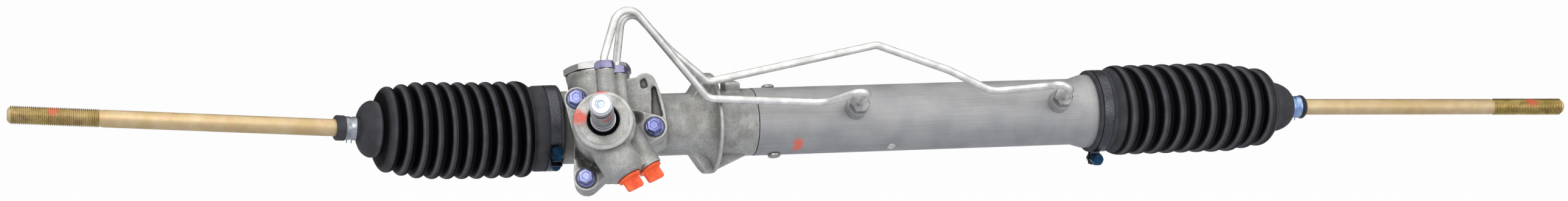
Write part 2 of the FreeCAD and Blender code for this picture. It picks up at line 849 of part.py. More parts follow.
def socket(ball_x, rack_end, side):
    """Inner ball socket: a hex-flatted cup with a threaded stud, side -1 on the left."""
    mouth = math.radians(mouth_deg)
    cup_r = ball_r + seat_wall
    rim = ball_x + side * (cup_r * math.cos(mouth) + 1.0)
    stud_end = rack_end - side * stud_length
    cup = turned([
        (stud_end, 0), (stud_end, stud_r), (rack_end, stud_r), (rack_end, socket_r - 1),
        (rack_end + side, socket_r), (rim - side * 3, socket_r), (rim, socket_r - 2), (rim, 0),
    ])
    flats_start = rack_end + side * 6.0 - spanner_flat / 2
    flats = [
        Part.makeBox(spanner_flat, 4 * socket_r, socket_r, V(flats_start, -2 * socket_r, low))
        for low in (socket_r - spanner_depth, spanner_depth - 2 * socket_r)
    ]
    hollow = Part.makeSphere(cup_r, V(ball_x, 0, 0))
    cone = mouth_cone(ball_x, side)
    return cup.cut(flats).cut([hollow, cone])


def mouth_cone(ball_x, side):
    reach = 2 * socket_r
    slope = math.tan(math.radians(mouth_deg))
    return turned([(ball_x, 0), (ball_x + side * reach, reach * slope), (ball_x + side * reach, 0)])


def ball_seat(ball_x, side):
    """Plastic seat around the ball."""
    centre = V(ball_x, 0, 0)
    shell = Part.makeSphere(ball_r + seat_wall, centre).cut(Part.makeSphere(ball_r + run_gap, centre))
    return shell.cut(mouth_cone(ball_x, side))


def lock_washers():
    return Part.Compound([
        ring_x(socket_r - 2, stud_r, rack_left, rack_left + washer_thick),
        ring_x(socket_r - 2, stud_r, rack_right - washer_thick, rack_right),
    ])


def tie_rod(ball_x, side, tilt_deg):
    """Ball, neck, shank and threaded end, tilted about its ball."""
    ball = Part.makeSphere(ball_r)
    shank = turned([
        (0, 0), (0, rod_neck_r), (rod_neck_end - 8, rod_neck_r), (rod_neck_end, rod_r),
        (rod_length - thread_length - 1, rod_r), (rod_length - thread_length, thread_r),
        (rod_length - rod_chamfer, thread_r), (rod_length, thread_r - rod_chamfer), (rod_length, 0),
    ])
    return on_rod(ball.fuse(shank), ball_x, side, tilt_deg)


def on_rod(shape, ball_x, side, tilt_deg):
    """Places a shape drawn along +X from the ball onto a tie rod."""
    if side < 0:
        shape.rotate(V(0, 0, 0), V(0, 0, 1), 180)
    shape.rotate(V(0, 0, 0), V(0, 1, 0), tilt_deg)
    shape.translate(V(ball_x, 0, 0))
    return shape


def rod_clip(ball_x, side, tilt_deg, distance):
    """Spring clip around the small end of a boot, with its two pinch ears."""
    inner = boot_neck_r + soft_gap
    outer = inner + clip_wall
    start = distance - clip_width / 2
    band = ring_x(outer, inner, start, start + clip_width)
    ears = [
        Part.makeBox(clip_width / 2, clip_ear_thick, clip_ear, V(start + clip_width / 4, y, outer - 0.3))
        for y in (-2 * clip_ear_thick, clip_ear_thick)
    ]
    return on_rod(joined([band] + ears), ball_x, side, tilt_deg)


# Boots

def bellows(first_valley, pitch, side, crest_radii):
    """Outer and inner outlines of the folds, from the collar out to the small end."""
    outer, inner = [], []
    for n, crest in enumerate(crest_radii):
        near = first_valley + side * n * pitch
        far = near + side * pitch
        top = (near + far) / 2
        if n == 0:
            near -= side * first_fold_extra
        valley_in = fold_valley(crest_radii, n - 1)
        valley_out = fold_valley(crest_radii, n)
        outer.append(Part.Arc(V(near, 0, valley_in), V(top, 0, crest), V(far, 0, valley_out)).toShape())
        low = V(top, 0, crest - boot_wall)
        inner.append((V(near, 0, valley_in - boot_wall), low, V(far, 0, valley_out - boot_wall)))
    return outer, inner


def fold_valley(crest_radii, n):
    """Radius of the valley after crest n, lower where the crests shrink."""
    depth = boot_crest_r - boot_valley_r
    if n < 0:
        return boot_valley_r
    after = crest_radii[min(n + 1, len(crest_radii) - 1)]
    return min(crest_radii[n], after) - depth


def boot(lip, first_valley, pitch, crest_radii, side, ball_x, tilt_deg, clip_distance, tail):
    """Rubber boot: collar on its seat, folds about the rack axis, then bulb and neck about the tie rod."""
    seat_bore = boot_bore(side)
    outer, inner = bellows(first_valley, pitch, side, crest_radii)
    last = first_valley + side * len(crest_radii) * pitch
    folds_start = first_valley - side * first_fold_extra
    groove_near = lip + side * collar_lip
    groove_far = groove_near + side * (clamp_width + 1.0)
    groove_r = collar_r - clamp_wall
    edges_out = [
        (lip, seat_bore), (lip, collar_r), (groove_near, collar_r), (groove_near, groove_r),
        (groove_far, groove_r), (groove_far, collar_r), (folds_start - side * collar_ramp, collar_r),
        (folds_start, boot_valley_r),
    ]
    outline = [Part.makeLine(V(a[0], 0, a[1]), V(b[0], 0, b[1])) for a, b in zip(edges_out, edges_out[1:])]
    end_r = fold_valley(crest_radii, len(crest_radii) - 1)
    outline += outer
    outline.append(Part.makeLine(V(last, 0, end_r), V(last, 0, end_r - boot_wall)))
    for near, low, far in reversed(inner):
        outline.append(Part.makeLine(far, low))
        outline.append(Part.makeLine(low, near))
    step = V(folds_start, 0, seat_bore)
    start_in = V(folds_start, 0, boot_valley_r - boot_wall)
    if (step - start_in).Length > 0.01:
        outline.append(Part.makeLine(start_in, step))
    outline.append(Part.makeLine(step, V(lip, 0, seat_bore)))
    folds = Part.Face(Part.Wire(outline)).revolve(V(0, 0, 0), along_x, 360)
    distance = abs(last - ball_x)
    return folds.fuse(bulb(distance, end_r, ball_x, side, tilt_deg, clip_distance, tail))


def boot_bore(side):
    """Radius of the seat that a boot's collar grips."""
    return boot_seat_r if side < 0 else tube_r + tube_wall


def bulb(distance, end_r, ball_x, side, tilt_deg, clip_distance, tail):
    """Shoulder, bulb and neck of the boot's small end, drawn about the tie rod."""
    neck_start = clip_distance - clip_width / 2 - boot_neck_gap
    lip_start = clip_distance + clip_width / 2 + soft_gap
    neck_end = lip_start + tail
    inner_neck = rod_r + soft_gap
    wall = boot_wall
    shoulder_r = bulb_r * 0.72
    top = [
        (distance, end_r), (distance + 3.5, bulb_r + 1.0), (distance + 8.0, bulb_r),
        (neck_start - 4.0, shoulder_r), (neck_start, boot_neck_r), (lip_start, boot_neck_r),
        (lip_start + 0.8, boot_neck_r + 1.6),
        (neck_end - 1, boot_neck_r + 1.6), (neck_end, boot_neck_r + 0.8),
    ]
    under = [
        (neck_end, inner_neck), (neck_start - 1.0, inner_neck), (neck_start - 5.0, shoulder_r - wall),
        (distance + 7.0, bulb_r - wall), (distance + 2.5, bulb_r + 1.0 - wall), (distance, end_r - wall),
    ]
    return on_rod(turned(top + under), ball_x, side, tilt_deg)


def fading(count, full, fall):
    """Crest radii from the collar outwards, shrinking towards the small end."""
    return [full - (fall[n - count + len(fall)] if n >= count - len(fall) else 0.0) for n in range(count)]


def clamp_start(lip, side):
    """Left edge of the clamp band, in the middle of the collar's groove."""
    near = lip + side * (collar_lip + 0.5)
    return min(near, near + side * clamp_width)


def boot_clamp(lip, side, turn_deg):
    """Clamp band in the collar's groove, with its two lugs turned about the rack axis."""
    start = clamp_start(lip, side)
    inner = collar_r - clamp_wall + run_gap
    outer = inner + clamp_wall
    half = clamp_gap / 2
    band = ring_x(outer, inner, start, start + clamp_width)
    gap = Part.makeBox(2 * clamp_width, clamp_gap, 2 * clamp_lug, V(start - 2, -half, -outer - clamp_lug))
    lugs = [
        Part.makeBox(clamp_width, clamp_wall, clamp_lug, V(start, y, -outer - clamp_lug + 0.5))
        for y in (-half - clamp_wall, half)
    ]
    hole_start = clamp_screw_seat(start) + V(0, -clamp_lug / 2, 0)
    hole = Part.makeCylinder(clamp_screw_r + run_gap, 2 * clamp_lug, hole_start, V(0, 1, 0))
    clamp = joined([band.cut(gap)] + lugs).cut(hole)
    return clamp.rotated(V(0, 0, 0), along_x, turn_deg)


def clamp_screw_seat(start):
    """Where the screw's head meets the first lug, before the clamp is turned."""
    return V(start + clamp_width / 2, -clamp_gap / 2 - clamp_wall, -collar_r - clamp_head_flats / 2 - 1.25)


def clamp_screw(lip, side, turn_deg):
    seat = clamp_screw_seat(clamp_start(lip, side))
    shank = Part.makeCylinder(clamp_screw_r, clamp_screw_length, seat, V(0, 1, 0))
    head = hexagon(clamp_head_flats, clamp_head_length, seat, V(0, -1, 0))
    nut_seat = seat + V(0, clamp_gap + 2 * clamp_wall, 0)
    nut = hexagon(clamp_head_flats - 1.2, clamp_nut_height, nut_seat, V(0, 1, 0))
    return joined([shank, head, nut]).rotated(V(0, 0, 0), along_x, turn_deg)


# Pinion bearings, seals and covers

def lower_bearing():
    """Ball bearing on the pinion's tail: two grooved rings and the balls."""
    end = -face_width / 2 - 1.0
    start = end - bearing_width
    middle = (start + end) / 2
    inner_r = tail_r + run_gap
    mid_r = (inner_r + bearing_bore) / 2
    ball = (bearing_bore - inner_r) / 2 - bearing_ring + 1.0
    groove = Part.makeTorus(mid_r, ball + run_gap, V(0, 0, middle))
    inner = ring_z(inner_r + bearing_ring, inner_r, start, end).cut(groove)
    outer = ring_z(bearing_bore, bearing_bore - bearing_ring, start, end).cut(groove)
    pieces = [inner, outer]
    for n in range(bearing_balls):
        angle = 2 * math.pi * n / bearing_balls
        pieces.append(Part.makeSphere(ball, V(mid_r * math.cos(angle), mid_r * math.sin(angle), middle)))
    return to_pinion(Part.Compound(pieces))


def upper_bearing():
    return to_pinion(ring_z(bearing_bore, journal_r + run_gap, needle_start, needle_end))


def pinion_seal():
    lip = journal_r + run_gap
    return to_pinion(turned_z([
        (needle_end, lip), (needle_end, bearing_bore), (pinion_seal_end, bearing_bore),
        (pinion_seal_end, bearing_bore - 1), (needle_end + 2, bearing_bore - 1.4),
        (needle_end + 2, lip + 1.4),
        (pinion_seal_end, lip + 0.8), (pinion_seal_end, lip),
    ]))


def pinion_nut():
    start = tail_end - nut_height
    nut = hexagon(nut_flats, nut_height, V(0, 0, start), V(0, 0, 1))
    return to_pinion(nut.cut(cylinder_z(tail_thread_r, start, tail_end)))


def bottom_cap():
    """Threaded cap under the pinion, with a hex socket."""
    key = hexagon(cap_key_flats, cap_key_depth, V(0, 0, cap_end), V(0, 0, 1))
    cap = cylinder_z(cap_r - run_gap, cap_end, cap_start).cut(key)
    return to_pinion(cap.cut(cylinder_z(cap_relief_r, cap_start - cap_relief, cap_start)))


# Valve and shaft

def valve_sleeve():
    """Rotary sleeve with its ring grooves, oil grooves and feed holes."""
    outer = valve_bore_r - 2 * run_gap
    deep = outer - groove_depth
    profile = [(sleeve_start, outer)]
    for n, w in enumerate(sleeve_grooves):
        profile += [(w, outer), (w, deep), (w + groove_width, deep), (w + groove_width, outer)]
        if n + 1 < len(sleeve_grooves):
            middle = (w + groove_width + sleeve_grooves[n + 1]) / 2
            half = oil_groove_width / 2
            profile += [(middle - half, outer), (middle - half, deep)]
            profile += [(middle + half, deep), (middle + half, outer)]
    profile.append((sleeve_end, outer))
    inner = spool_r + run_gap
    seat = head_r + run_gap
    profile += [(sleeve_end, inner), (head_end + 0.5, inner), (head_end + 0.5, seat), (sleeve_start, seat)]
    sleeve = turned_z(profile).cut(drive_pin_hole())
    holes = []
    for n, (w, after) in enumerate(zip(sleeve_grooves, sleeve_grooves[1:])):
        middle = (w + groove_width + after) / 2
        for quarter in range(4):
            angle = math.radians(90 * quarter + 22.5 * n)
            outward = V(math.cos(angle), math.sin(angle), 0)
            holes.append(Part.makeCylinder(feed_hole_r, outer, V(0, 0, middle), outward))
    return to_pinion(sleeve.cut(holes))


def sleeve_rings():
    deep = valve_bore_r - 2 * run_gap - groove_depth
    return to_pinion(Part.Compound([
        ring_z(valve_bore_r - run_gap, deep, w, w + groove_width) for w in sleeve_grooves
    ]))


def drive_pin():
    height = (sleeve_start + head_end) / 2
    start = torsion_r + 4.0
    return to_pinion(Part.makeCylinder(pin_r, valve_bore_r - start - 0.4, V(start, 0, height), along_x))


def input_shaft():
    """Spool with its lengthwise slots, then the shaft with its clamp groove."""
    slot_start = input_start + spool_slot_margin
    slot_end = sleeve_end - spool_slot_margin
    shaft = turned_z([
        (input_start, 0), (input_start, spool_r - 0.5), (input_start + 0.5, spool_r), (sleeve_end, spool_r),
        (sleeve_end + 1, input_r), (stub_start - 0.5, input_r), (stub_start, stub_r),
        (input_groove_w, stub_r), (input_groove_w + 1, input_groove_r),
        (input_groove_w + input_groove_width - 1, input_groove_r),
        (input_groove_w + input_groove_width, stub_r),
        (input_end - input_chamfer, stub_r), (input_end, stub_r - input_chamfer), (input_end, 0),
    ])
    cuts = [cylinder_z(torsion_r, input_start - tongue_length, torsion_end)]
    for n in range(spool_slots):
        angle = 2 * math.pi * n / spool_slots
        slot_x, slot_y = spool_r * math.cos(angle), spool_r * math.sin(angle)
        cuts.append(cylinder_z(spool_slot_r, slot_start, slot_end, slot_x, slot_y))
    return to_pinion(shaft.fuse(stop_tongue()).cut(cuts))


def torsion_bar():
    """Waisted bar that ties the input shaft to the pinion."""
    waist = torsion_r * 0.75
    return to_pinion(turned_z([
        (torsion_start, 0), (torsion_start, torsion_r), (torsion_start + 14, torsion_r),
        (torsion_start + 18, waist), (torsion_end - 22, waist), (torsion_end - 18, torsion_r),
        (torsion_end, torsion_r), (torsion_end, 0),
    ]))


def input_bearing():
    return to_pinion(ring_z(shaft_hole_r, input_r + run_gap, valve_bore_end, valve_bore_end + needle_ring))


def input_seal():
    start = valve_bore_end + needle_ring
    lip = input_r + run_gap
    return to_pinion(turned_z([
        (start, lip), (start, shaft_hole_r), (neck_w - 1, shaft_hole_r), (neck_w - 1, shaft_hole_r - 0.8),
        (neck_w - 2.5, lip + 1.2), (neck_w - 1, lip),
    ]))


# Yoke

def yoke():
    """Spring-loaded shoe that holds the rack in mesh."""
    block = cylinder_z(yoke_r - run_gap, yoke_seat, yoke_top, x=yoke_x)
    recess = cylinder_z(spring_r + 2.0, yoke_top - spring_recess, yoke_top, x=yoke_x)
    return block.cut([recess, cylinder_x(rack_r + yoke_liner, yoke_x - 2 * yoke_r, yoke_x + 2 * yoke_r)])


def yoke_liner_shell():
    """Thin bearing shell between the shoe and the rack."""
    shell = ring_x(rack_r + yoke_liner, rack_r + run_gap, yoke_x - yoke_r + 4, yoke_x + yoke_r - 4)
    corner = V(yoke_x - 2 * yoke_r, -2 * yoke_r, yoke_seat)
    return shell.common(Part.makeBox(4 * yoke_r, 4 * yoke_r, yoke_r, corner))


def yoke_spring():
    """Coil spring between the shoe and the adjuster."""
    bottom = yoke_top - spring_recess + spring_wire
    top = yoke_boss_top + plug_rise - plug_thick - spring_wire
    height = top - bottom
    coil = Part.makeHelix(height / spring_turns, height, spring_r)
    start = coil.Edges[0].valueAt(coil.Edges[0].FirstParameter)
    circle = Part.Wire(Part.Circle(start, V(0, 1, 0), spring_wire).toShape())
    wire = Part.Wire(coil.Edges).makePipeShell([circle], True, True)
    wire.translate(V(yoke_x, 0, bottom))
    return wire


def yoke_plug():
    """Threaded adjuster with a hex socket."""
    top = yoke_boss_top + plug_rise
    plug = cylinder_z(yoke_r - run_gap, top - plug_thick, top, x=yoke_x)
    key = hexagon(plug_key_flats, plug_key_depth, V(yoke_x, 0, top - plug_key_depth), V(0, 0, 1))
    return plug.cut(key)


def yoke_lock_nut():
    """Broad thin lock nut with eight flats, seated on the yoke boss."""
    flats = 2 * lock_nut_r * math.cos(math.pi / lock_nut_corners)
    nut = hexagon(flats, lock_nut_thick, V(yoke_x, 0, yoke_boss_top), V(0, 0, 1), lock_nut_corners)
    return nut.cut(cylinder_z(yoke_r, yoke_boss_top, yoke_boss_top + lock_nut_thick, x=yoke_x))


# Pipes, their nuts and the port plugs

def rounded_path(points, radii):
    """Straight runs joined by tangent arcs, one radius for each inner point."""
    edges = []
    start = points[0]
    for before, corner, after, radius in zip(points, points[1:], points[2:], radii):
        back = (before - corner).normalize()
        ahead = (after - corner).normalize()
        turn = math.pi - back.getAngle(ahead)
        cut = radius * math.tan(turn / 2)
        entry = corner + back * cut
        leave = corner + ahead * cut
        inward = (back + ahead).normalize()
        middle = corner + inward * (radius / math.cos(turn / 2) - radius)
        edges.append(Part.makeLine(start, entry))
        edges.append(Part.Arc(entry, middle, leave).toShape())
        start = leave
    edges.append(Part.makeLine(start, points[-1]))
    return Part.Wire(edges)


def bent_pipe(points, radii):
    """Thin-walled pipe swept along its bends."""
    path = rounded_path(points, radii)
    heading = points[1] - points[0]
    solids = []
    for r in (pipe_r, pipe_r - pipe_wall):
        circle = Part.Wire(Part.Circle(points[0], heading, r).toShape())
        solids.append(path.makePipeShell([circle], True, False))
    return solids[0].cut(solids[1])


def in_use(point):
    """A point of the rolled gear case, in the model's frame."""
    return FreeCAD.Rotation(along_x, roll_deg).multVec(point)


def top_port_point(index, height):
    u, w = top_port_places[index]
    return in_use(valve_point(u, height, w))


def cylinder_port_point(x, reach):
    return in_use(V(x, 0, 0) + port_axis() * reach)


def front_pipe():
    """From the outer valve port over a tight bend, down across the flange and along the cylinder."""
    points = [
        top_port_point(0, top_boss_height - pipe_sink), top_port_point(0, top_boss_height + pipe_rise),
        V(-105.8, -52.0, 106.8), V(-34.6, -40.0, 23.9), V(60.2, -38.0, 17.8),
        cylinder_port_point(port_left_x, port_reach), cylinder_port_point(port_left_x, port_boss_top - 5.0),
    ]
    return bent_pipe(points, [8.0, 12.5, 12.0, 16.0, 7.2])


def rear_pipe():
    """From the inner valve port over a tight bend, then kinked over the cylinder to its right port."""
    points = [
        top_port_point(1, top_boss_height - pipe_sink), top_port_point(1, top_boss_height + pipe_rise),
        V(-102.5, -42.0, 102.3), V(-64.2, -35.0, 62.4), V(-32.1, -29.0, 35.8), V(110.1, -16.0, 60.4),
        V(169.0, -24.0, 39.2), V(201.7, -34.0, 22.3), V(245.3, -45.0, 26.6),
        cylinder_port_point(port_right_x, port_reach), cylinder_port_point(port_right_x, port_boss_top - 5.0),
    ]
    return bent_pipe(points, [8.0, 10.0, 40.0, 8.0, 9.0, 60.0, 24.0, 14.0, 7.6])


def pipe_nuts():
    """Four union nuts, one at each end of each pipe."""
    places = [(top_port_point(n, top_boss_height), in_use(pinion_v)) for n in (0, 1)]
    for x in (port_left_x, port_right_x):
        places.append((cylinder_port_point(x, port_boss_top), in_use(port_axis())))
    nuts = []
    for base, axis in places:
        nut = hexagon(pipe_nut_flats, pipe_nut_height, base, axis)
        thread = Part.makeCylinder(port_thread_r - run_gap, pipe_nut_grip, base - axis * pipe_nut_grip, axis)
        hole = Part.makeCylinder(pipe_r + run_gap, 3 * pipe_nut_height, base - axis * pipe_nut_height, axis)
        nuts.append(joined([nut, thread]).cut(hole))
    return Part.Compound(nuts)


def port_plugs():
    """Two push-in transit plugs, each with a stem, a flange and a pull tab."""
    plugs = []
    for base, outward in supply_axes():
        face = base + outward * supply_face
        stem = Part.makeCylinder(supply_bore_r - 0.1, plug_depth, face - outward * plug_depth, outward)
        brim = Part.makeCylinder(plug_flange_r, plug_flange, face, outward)
        tab = Part.makeBox(2 * plug_flange_r - 4, plug_tab_thick, plug_tab_length)
        tab.translate(V(-plug_flange_r + 2, -plug_tab_thick / 2, 0))
        tab = tab.makeFillet(1.5, [e for e in tab.Edges if e.BoundBox.ZMin > plug_tab_length - 1])
        seated = FreeCAD.Placement(face + outward * plug_flange, FreeCAD.Rotation(V(0, 0, 1), outward))
        tab.Placement = seated.multiply(tab.Placement)
        plugs.append(to_pinion(joined([stem, brim, tab])))
    return Part.Compound(plugs)


left_radii = fading(left_crests, boot_crest_r, left_fade)
right_radii = fading(right_crests, boot_crest_r - right_shrink, right_fade)
left_lip = housing_left + boot_seat_length

save("rack_housing", rack_housing())
save("valve_housing", valve_housing())
save("housing_bolts", housing_bolts())
save("cylinder_tube", cylinder_tube())
save("cylinder_ports", cylinder_ports())
save("locating_screws", locating_screws())
save("inner_rack_seal", inner_seal())
save("right_guide", right_guide())
save("outer_rack_seal", outer_seal())
save("rod_bush", rod_bush())
save("retaining_ring", retaining_ring())

save("rack_bar", rack_bar())
save("piston", piston())
save("piston_ring", piston_ring())
save("lock_washers", lock_washers())

save("lower_bearing", lower_bearing())
save("upper_bearing", upper_bearing())
save("pinion_seal", pinion_seal())
save("pinion_nut", pinion_nut())
save("bottom_cap", bottom_cap())
save("pinion", to_pinion(pinion()))
save("valve_sleeve", valve_sleeve())
save("sleeve_rings", sleeve_rings())
save("drive_pin", drive_pin())
save("input_shaft", input_shaft())
save("torsion_bar", torsion_bar())
save("input_bearing", input_bearing())
save("input_seal", input_seal())

save("yoke", yoke())
save("yoke_liner", yoke_liner_shell())
save("yoke_spring", yoke_spring())
save("yoke_plug", yoke_plug())
save("yoke_lock_nut", yoke_lock_nut())

save("front_pipe", front_pipe(), roll=False)
save("rear_pipe", rear_pipe(), roll=False)
save("pipe_nuts", pipe_nuts(), roll=False)
save("port_plugs", port_plugs())

sides = {
    "left": (-1, rack_left, left_ball, left_rod_deg, left_clip_distance),
    "right": (1, rack_right, right_ball, right_rod_deg, right_clip_distance),
}
folds = {
    "left": (left_lip, left_valley_x, left_pitch, left_radii, left_boot_tail),
    "right": (right_lip_x, right_valley_x, right_pitch, right_radii, right_boot_tail),
}
clamp_turns = {"left": left_clamp_deg, "right": right_clamp_deg}

for name, (side, rack_end, ball_x, tilt, distance) in sides.items():
    lip, valley, pitch, radii, tail = folds[name]
    save(name + "_socket", socket(ball_x, rack_end, side), roll=False)
    save(name + "_ball_seat", ball_seat(ball_x, side), roll=False)
    save(name + "_tie_rod", tie_rod(ball_x, side, tilt), roll=False)
    save(name + "_rod_clip", rod_clip(ball_x, side, tilt, distance), roll=False)
    save(name + "_boot", boot(lip, valley, pitch, radii, side, ball_x, tilt, distance, tail), roll=False)
    save(name + "_boot_clamp", boot_clamp(lip, side, clamp_turns[name]), roll=False)
    save(name + "_clamp_screw", clamp_screw(lip, side, clamp_turns[name]), roll=False)
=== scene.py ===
import math
import bpy
import bmesh
from mathutils import Matrix, Vector, noise


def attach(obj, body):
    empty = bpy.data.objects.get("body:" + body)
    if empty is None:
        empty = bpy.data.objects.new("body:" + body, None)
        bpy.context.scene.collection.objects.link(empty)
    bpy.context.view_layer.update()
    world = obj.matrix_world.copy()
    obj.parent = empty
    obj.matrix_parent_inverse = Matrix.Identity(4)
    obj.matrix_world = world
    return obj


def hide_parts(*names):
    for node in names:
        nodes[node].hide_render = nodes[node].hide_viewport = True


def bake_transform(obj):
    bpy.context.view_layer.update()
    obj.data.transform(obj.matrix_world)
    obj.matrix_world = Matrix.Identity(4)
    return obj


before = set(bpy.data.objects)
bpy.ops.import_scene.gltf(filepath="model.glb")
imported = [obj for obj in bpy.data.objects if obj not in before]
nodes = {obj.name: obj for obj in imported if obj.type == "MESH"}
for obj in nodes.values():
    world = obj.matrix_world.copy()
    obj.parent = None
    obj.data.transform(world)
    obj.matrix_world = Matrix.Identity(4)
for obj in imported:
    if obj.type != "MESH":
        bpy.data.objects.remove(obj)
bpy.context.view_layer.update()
mm = 0.001
xAxis = Vector((1, 0, 0))
xToZ = Matrix.Rotation(-math.pi / 2, 4, "Y")
print("frame loaded:", len(nodes), "nodes")

# Where the gear case and its shaft lie, as the part is built, in mm and degrees
gearCase = {
    "roll": -20.0,            # about the rack
    "lean": 13.5,             # of the shaft towards the left
    "pinionX": -107.5,
    "shaftDepth": 16.735,     # rack axis to shaft axis
    "boltPlaces": ((-19.8, 29.2), (37.9, 2.0), (-17.3, -33.4)),
    "boltSeat": 48.0,         # height of the bolt faces along the shaft
    "ringFace": 96.0,         # of the neck ring's face
    "shaftEnd": 147.0,        # and of the shaft's end
    "ringBevel": (20.2, 22.6),     # distances from the face's middle
}


def shaftFrame():
    lean = math.radians(gearCase["lean"])
    columns = (
        Vector((math.cos(lean), -math.sin(lean), 0)),
        Vector((0, 0, 1)),
        Vector((-math.sin(lean), -math.cos(lean), 0)),
    )
    turn = Matrix(columns).transposed().to_4x4()
    place = Matrix.Translation(Vector((gearCase["pinionX"], 0, -gearCase["shaftDepth"])) * mm)
    return Matrix.Rotation(math.radians(gearCase["roll"]), 4, "X") @ place @ turn


shaftPlace = shaftFrame()


def onShaft(u, v, w):
    # a place in the shaft's own frame, in mm of the part's frame
    return tuple((shaftPlace @ (Vector((u, v, w)) * mm)) / mm)


# Mesh helpers

def finishMesh(bm, name, place=Matrix.Identity(4), smoothAngle=40, recalc=True):
    bmesh.ops.remove_doubles(bm, verts=bm.verts, dist=1e-6)
    if recalc:
        bmesh.ops.recalc_face_normals(bm, faces=bm.faces)
    bmesh.ops.transform(bm, matrix=place, verts=bm.verts)
    mesh = bpy.data.meshes.new(name)
    bm.to_mesh(mesh)
    bm.free()
    piece = bpy.data.objects.new(name, mesh)
    bpy.context.scene.collection.objects.link(piece)
    for face in mesh.polygons:
        face.use_smooth = True
    mesh.set_sharp_from_angle(angle=math.radians(smoothAngle))
    return piece


def spinOutline(bm, outline, steps):
    # outline is (station, radius) in mm, turned about X into a closed shell
    ring = [bm.verts.new((s * mm, 0, r * mm)) for s, r in outline]
    edges = [bm.edges.new((a, b)) for a, b in zip(ring, ring[1:] + ring[:1])]
    bmesh.ops.spin(bm, geom=ring + edges, cent=(0, 0, 0), axis=xAxis, angle=2 * math.pi,
                   steps=steps, use_merge=True, use_duplicate=False)
    bmesh.ops.remove_doubles(bm, verts=bm.verts, dist=1e-6)
    # an outline that starts and ends on the axis leaves its axis edge behind
    loose = [e for e in bm.edges if not e.link_faces]
    bmesh.ops.delete(bm, geom=loose, context="EDGES")


def placeCopy(target, source, place):
    # moves a finished small shape to its place and joins it to the target
    bmesh.ops.transform(source, matrix=place, verts=source.verts)
    carrier = bpy.data.meshes.new("carrier")
    source.to_mesh(carrier)
    source.free()
    target.from_mesh(carrier)
    bpy.data.meshes.remove(carrier)


def applyModifiers(piece, name):
    graph = bpy.context.evaluated_depsgraph_get()
    mesh = bpy.data.meshes.new_from_object(piece.evaluated_get(graph))
    mesh.name = name
    piece.modifiers.clear()
    piece.data = mesh


def dress(piece, material, body=None):
    piece.data.materials.clear()
    piece.data.materials.append(material)
    if body:
        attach(piece, body)


# Materials

def linear(code):
    parts = [int(code[i:i + 2], 16) / 255 for i in (1, 3, 5)]
    return tuple(c / 12.92 if c <= 0.04045 else ((c + 0.055) / 1.055) ** 2.4 for c in parts) + (1.0,)


def add(tree, kind, inputs=None, **settings):
    made = tree.nodes.new("ShaderNode" + kind)
    for key, value in settings.items():
        setattr(made, key, value)
    for socket, value in (inputs or {}).items():
        if isinstance(value, bpy.types.NodeSocket):
            tree.links.new(value, made.inputs[socket])
        else:
            made.inputs[socket].default_value = value
    return made


def newMaterial(name, look=None):
    material = bpy.data.materials.new(name)
    material.use_nodes = True
    tree = material.node_tree
    shader = tree.nodes["Principled BSDF"]
    for socket, value in (look or {}).items():
        shader.inputs[socket].default_value = value
    return material, tree, shader


def grain(tree, size, detail=3.0, rough=0.55, coords=None):
    # noise whose blobs are about that many millimetres across
    coords = coords or add(tree, "TexCoord").outputs["Object"]
    return add(tree, "TexNoise", {"Vector": coords, "Scale": 1000 / size, "Detail": detail,
                                  "Roughness": rough}).outputs["Fac"]


def product(tree, *terms):
    # each term is a source, a band of its values and what the band's two ends become, and the terms
    # are multiplied together
    result = None
    for source, band, values in terms:
        ranged = add(tree, "MapRange", {"Value": source, "From Min": band[0], "From Max": band[1],
                                        "To Min": values[0], "To Max": values[1]}).outputs["Result"]
        if result is None:
            result = ranged
        else:
            result = add(tree, "Math", {0: result, 1: ranged}, operation="MULTIPLY").outputs[0]
    return result


def layer(tree, base, colour, source, band=(0, 1), shares=(0, 1)):
    # lays a colour over the base, its share following the source across a band of its values
    share = product(tree, (source, band, shares))
    base, colour = (linear(tone) if isinstance(tone, str) else tone for tone in (base, colour))
    return add(tree, "Mix", {0: share, 6: base, 7: colour}, data_type="RGBA").outputs[2]


def surface(tree, shader, tone, roughness, height, depth, strength):
    # colour, roughness as a term, or None where it is even, and a relief that is so many mm deep
    relief = add(tree, "Bump", {"Height": height, "Distance": depth * mm, "Strength": strength})
    tree.links.new(tone, shader.inputs["Base Color"])
    tree.links.new(relief.outputs["Normal"], shader.inputs["Normal"])
    if roughness:
        tree.links.new(product(tree, roughness), shader.inputs["Roughness"])


def distanceFrom(tree, place):
    coords = add(tree, "TexCoord").outputs["Object"]
    return add(tree, "VectorMath", {0: coords, 1: Vector(place) * mm}, operation="DISTANCE").outputs["Value"]


def raggedDistance(tree, place, size, reach):
    # the same, uneven by up to the reach in mm, in waves of that size
    uneven = product(tree, (grain(tree, size), (0.3, 0.7), (-reach * mm, reach * mm)))
    return add(tree, "Math", {0: distanceFrom(tree, place), 1: uneven}, operation="ADD").outputs[0]


def strongest(tree, masks):
    mask = masks[0]
    for other in masks[1:]:
        mask = add(tree, "Math", {0: mask, 1: other}, operation="MAXIMUM").outputs[0]
    return mask


def paintDabs(tree, shader, base, spots, colour, metallic=0.2, metalTerms=()):
    # brushed inspection marks: round blots with a ragged edge, given as place and radius in mm, and less
    # metallic than what they lie on
    if not spots:
        return base
    dabs = []
    for place, radius in spots:
        away = raggedDistance(tree, place, 3.0, 1.6)
        dabs.append(product(tree, (away, (radius * mm * 0.55, radius * mm), (0.85, 0))))
    mask = strongest(tree, dabs)
    metal = product(tree, (mask, (0, 1), (1, metallic)), *metalTerms)
    tree.links.new(metal, shader.inputs["Metallic"])
    return layer(tree, base, colour, mask)


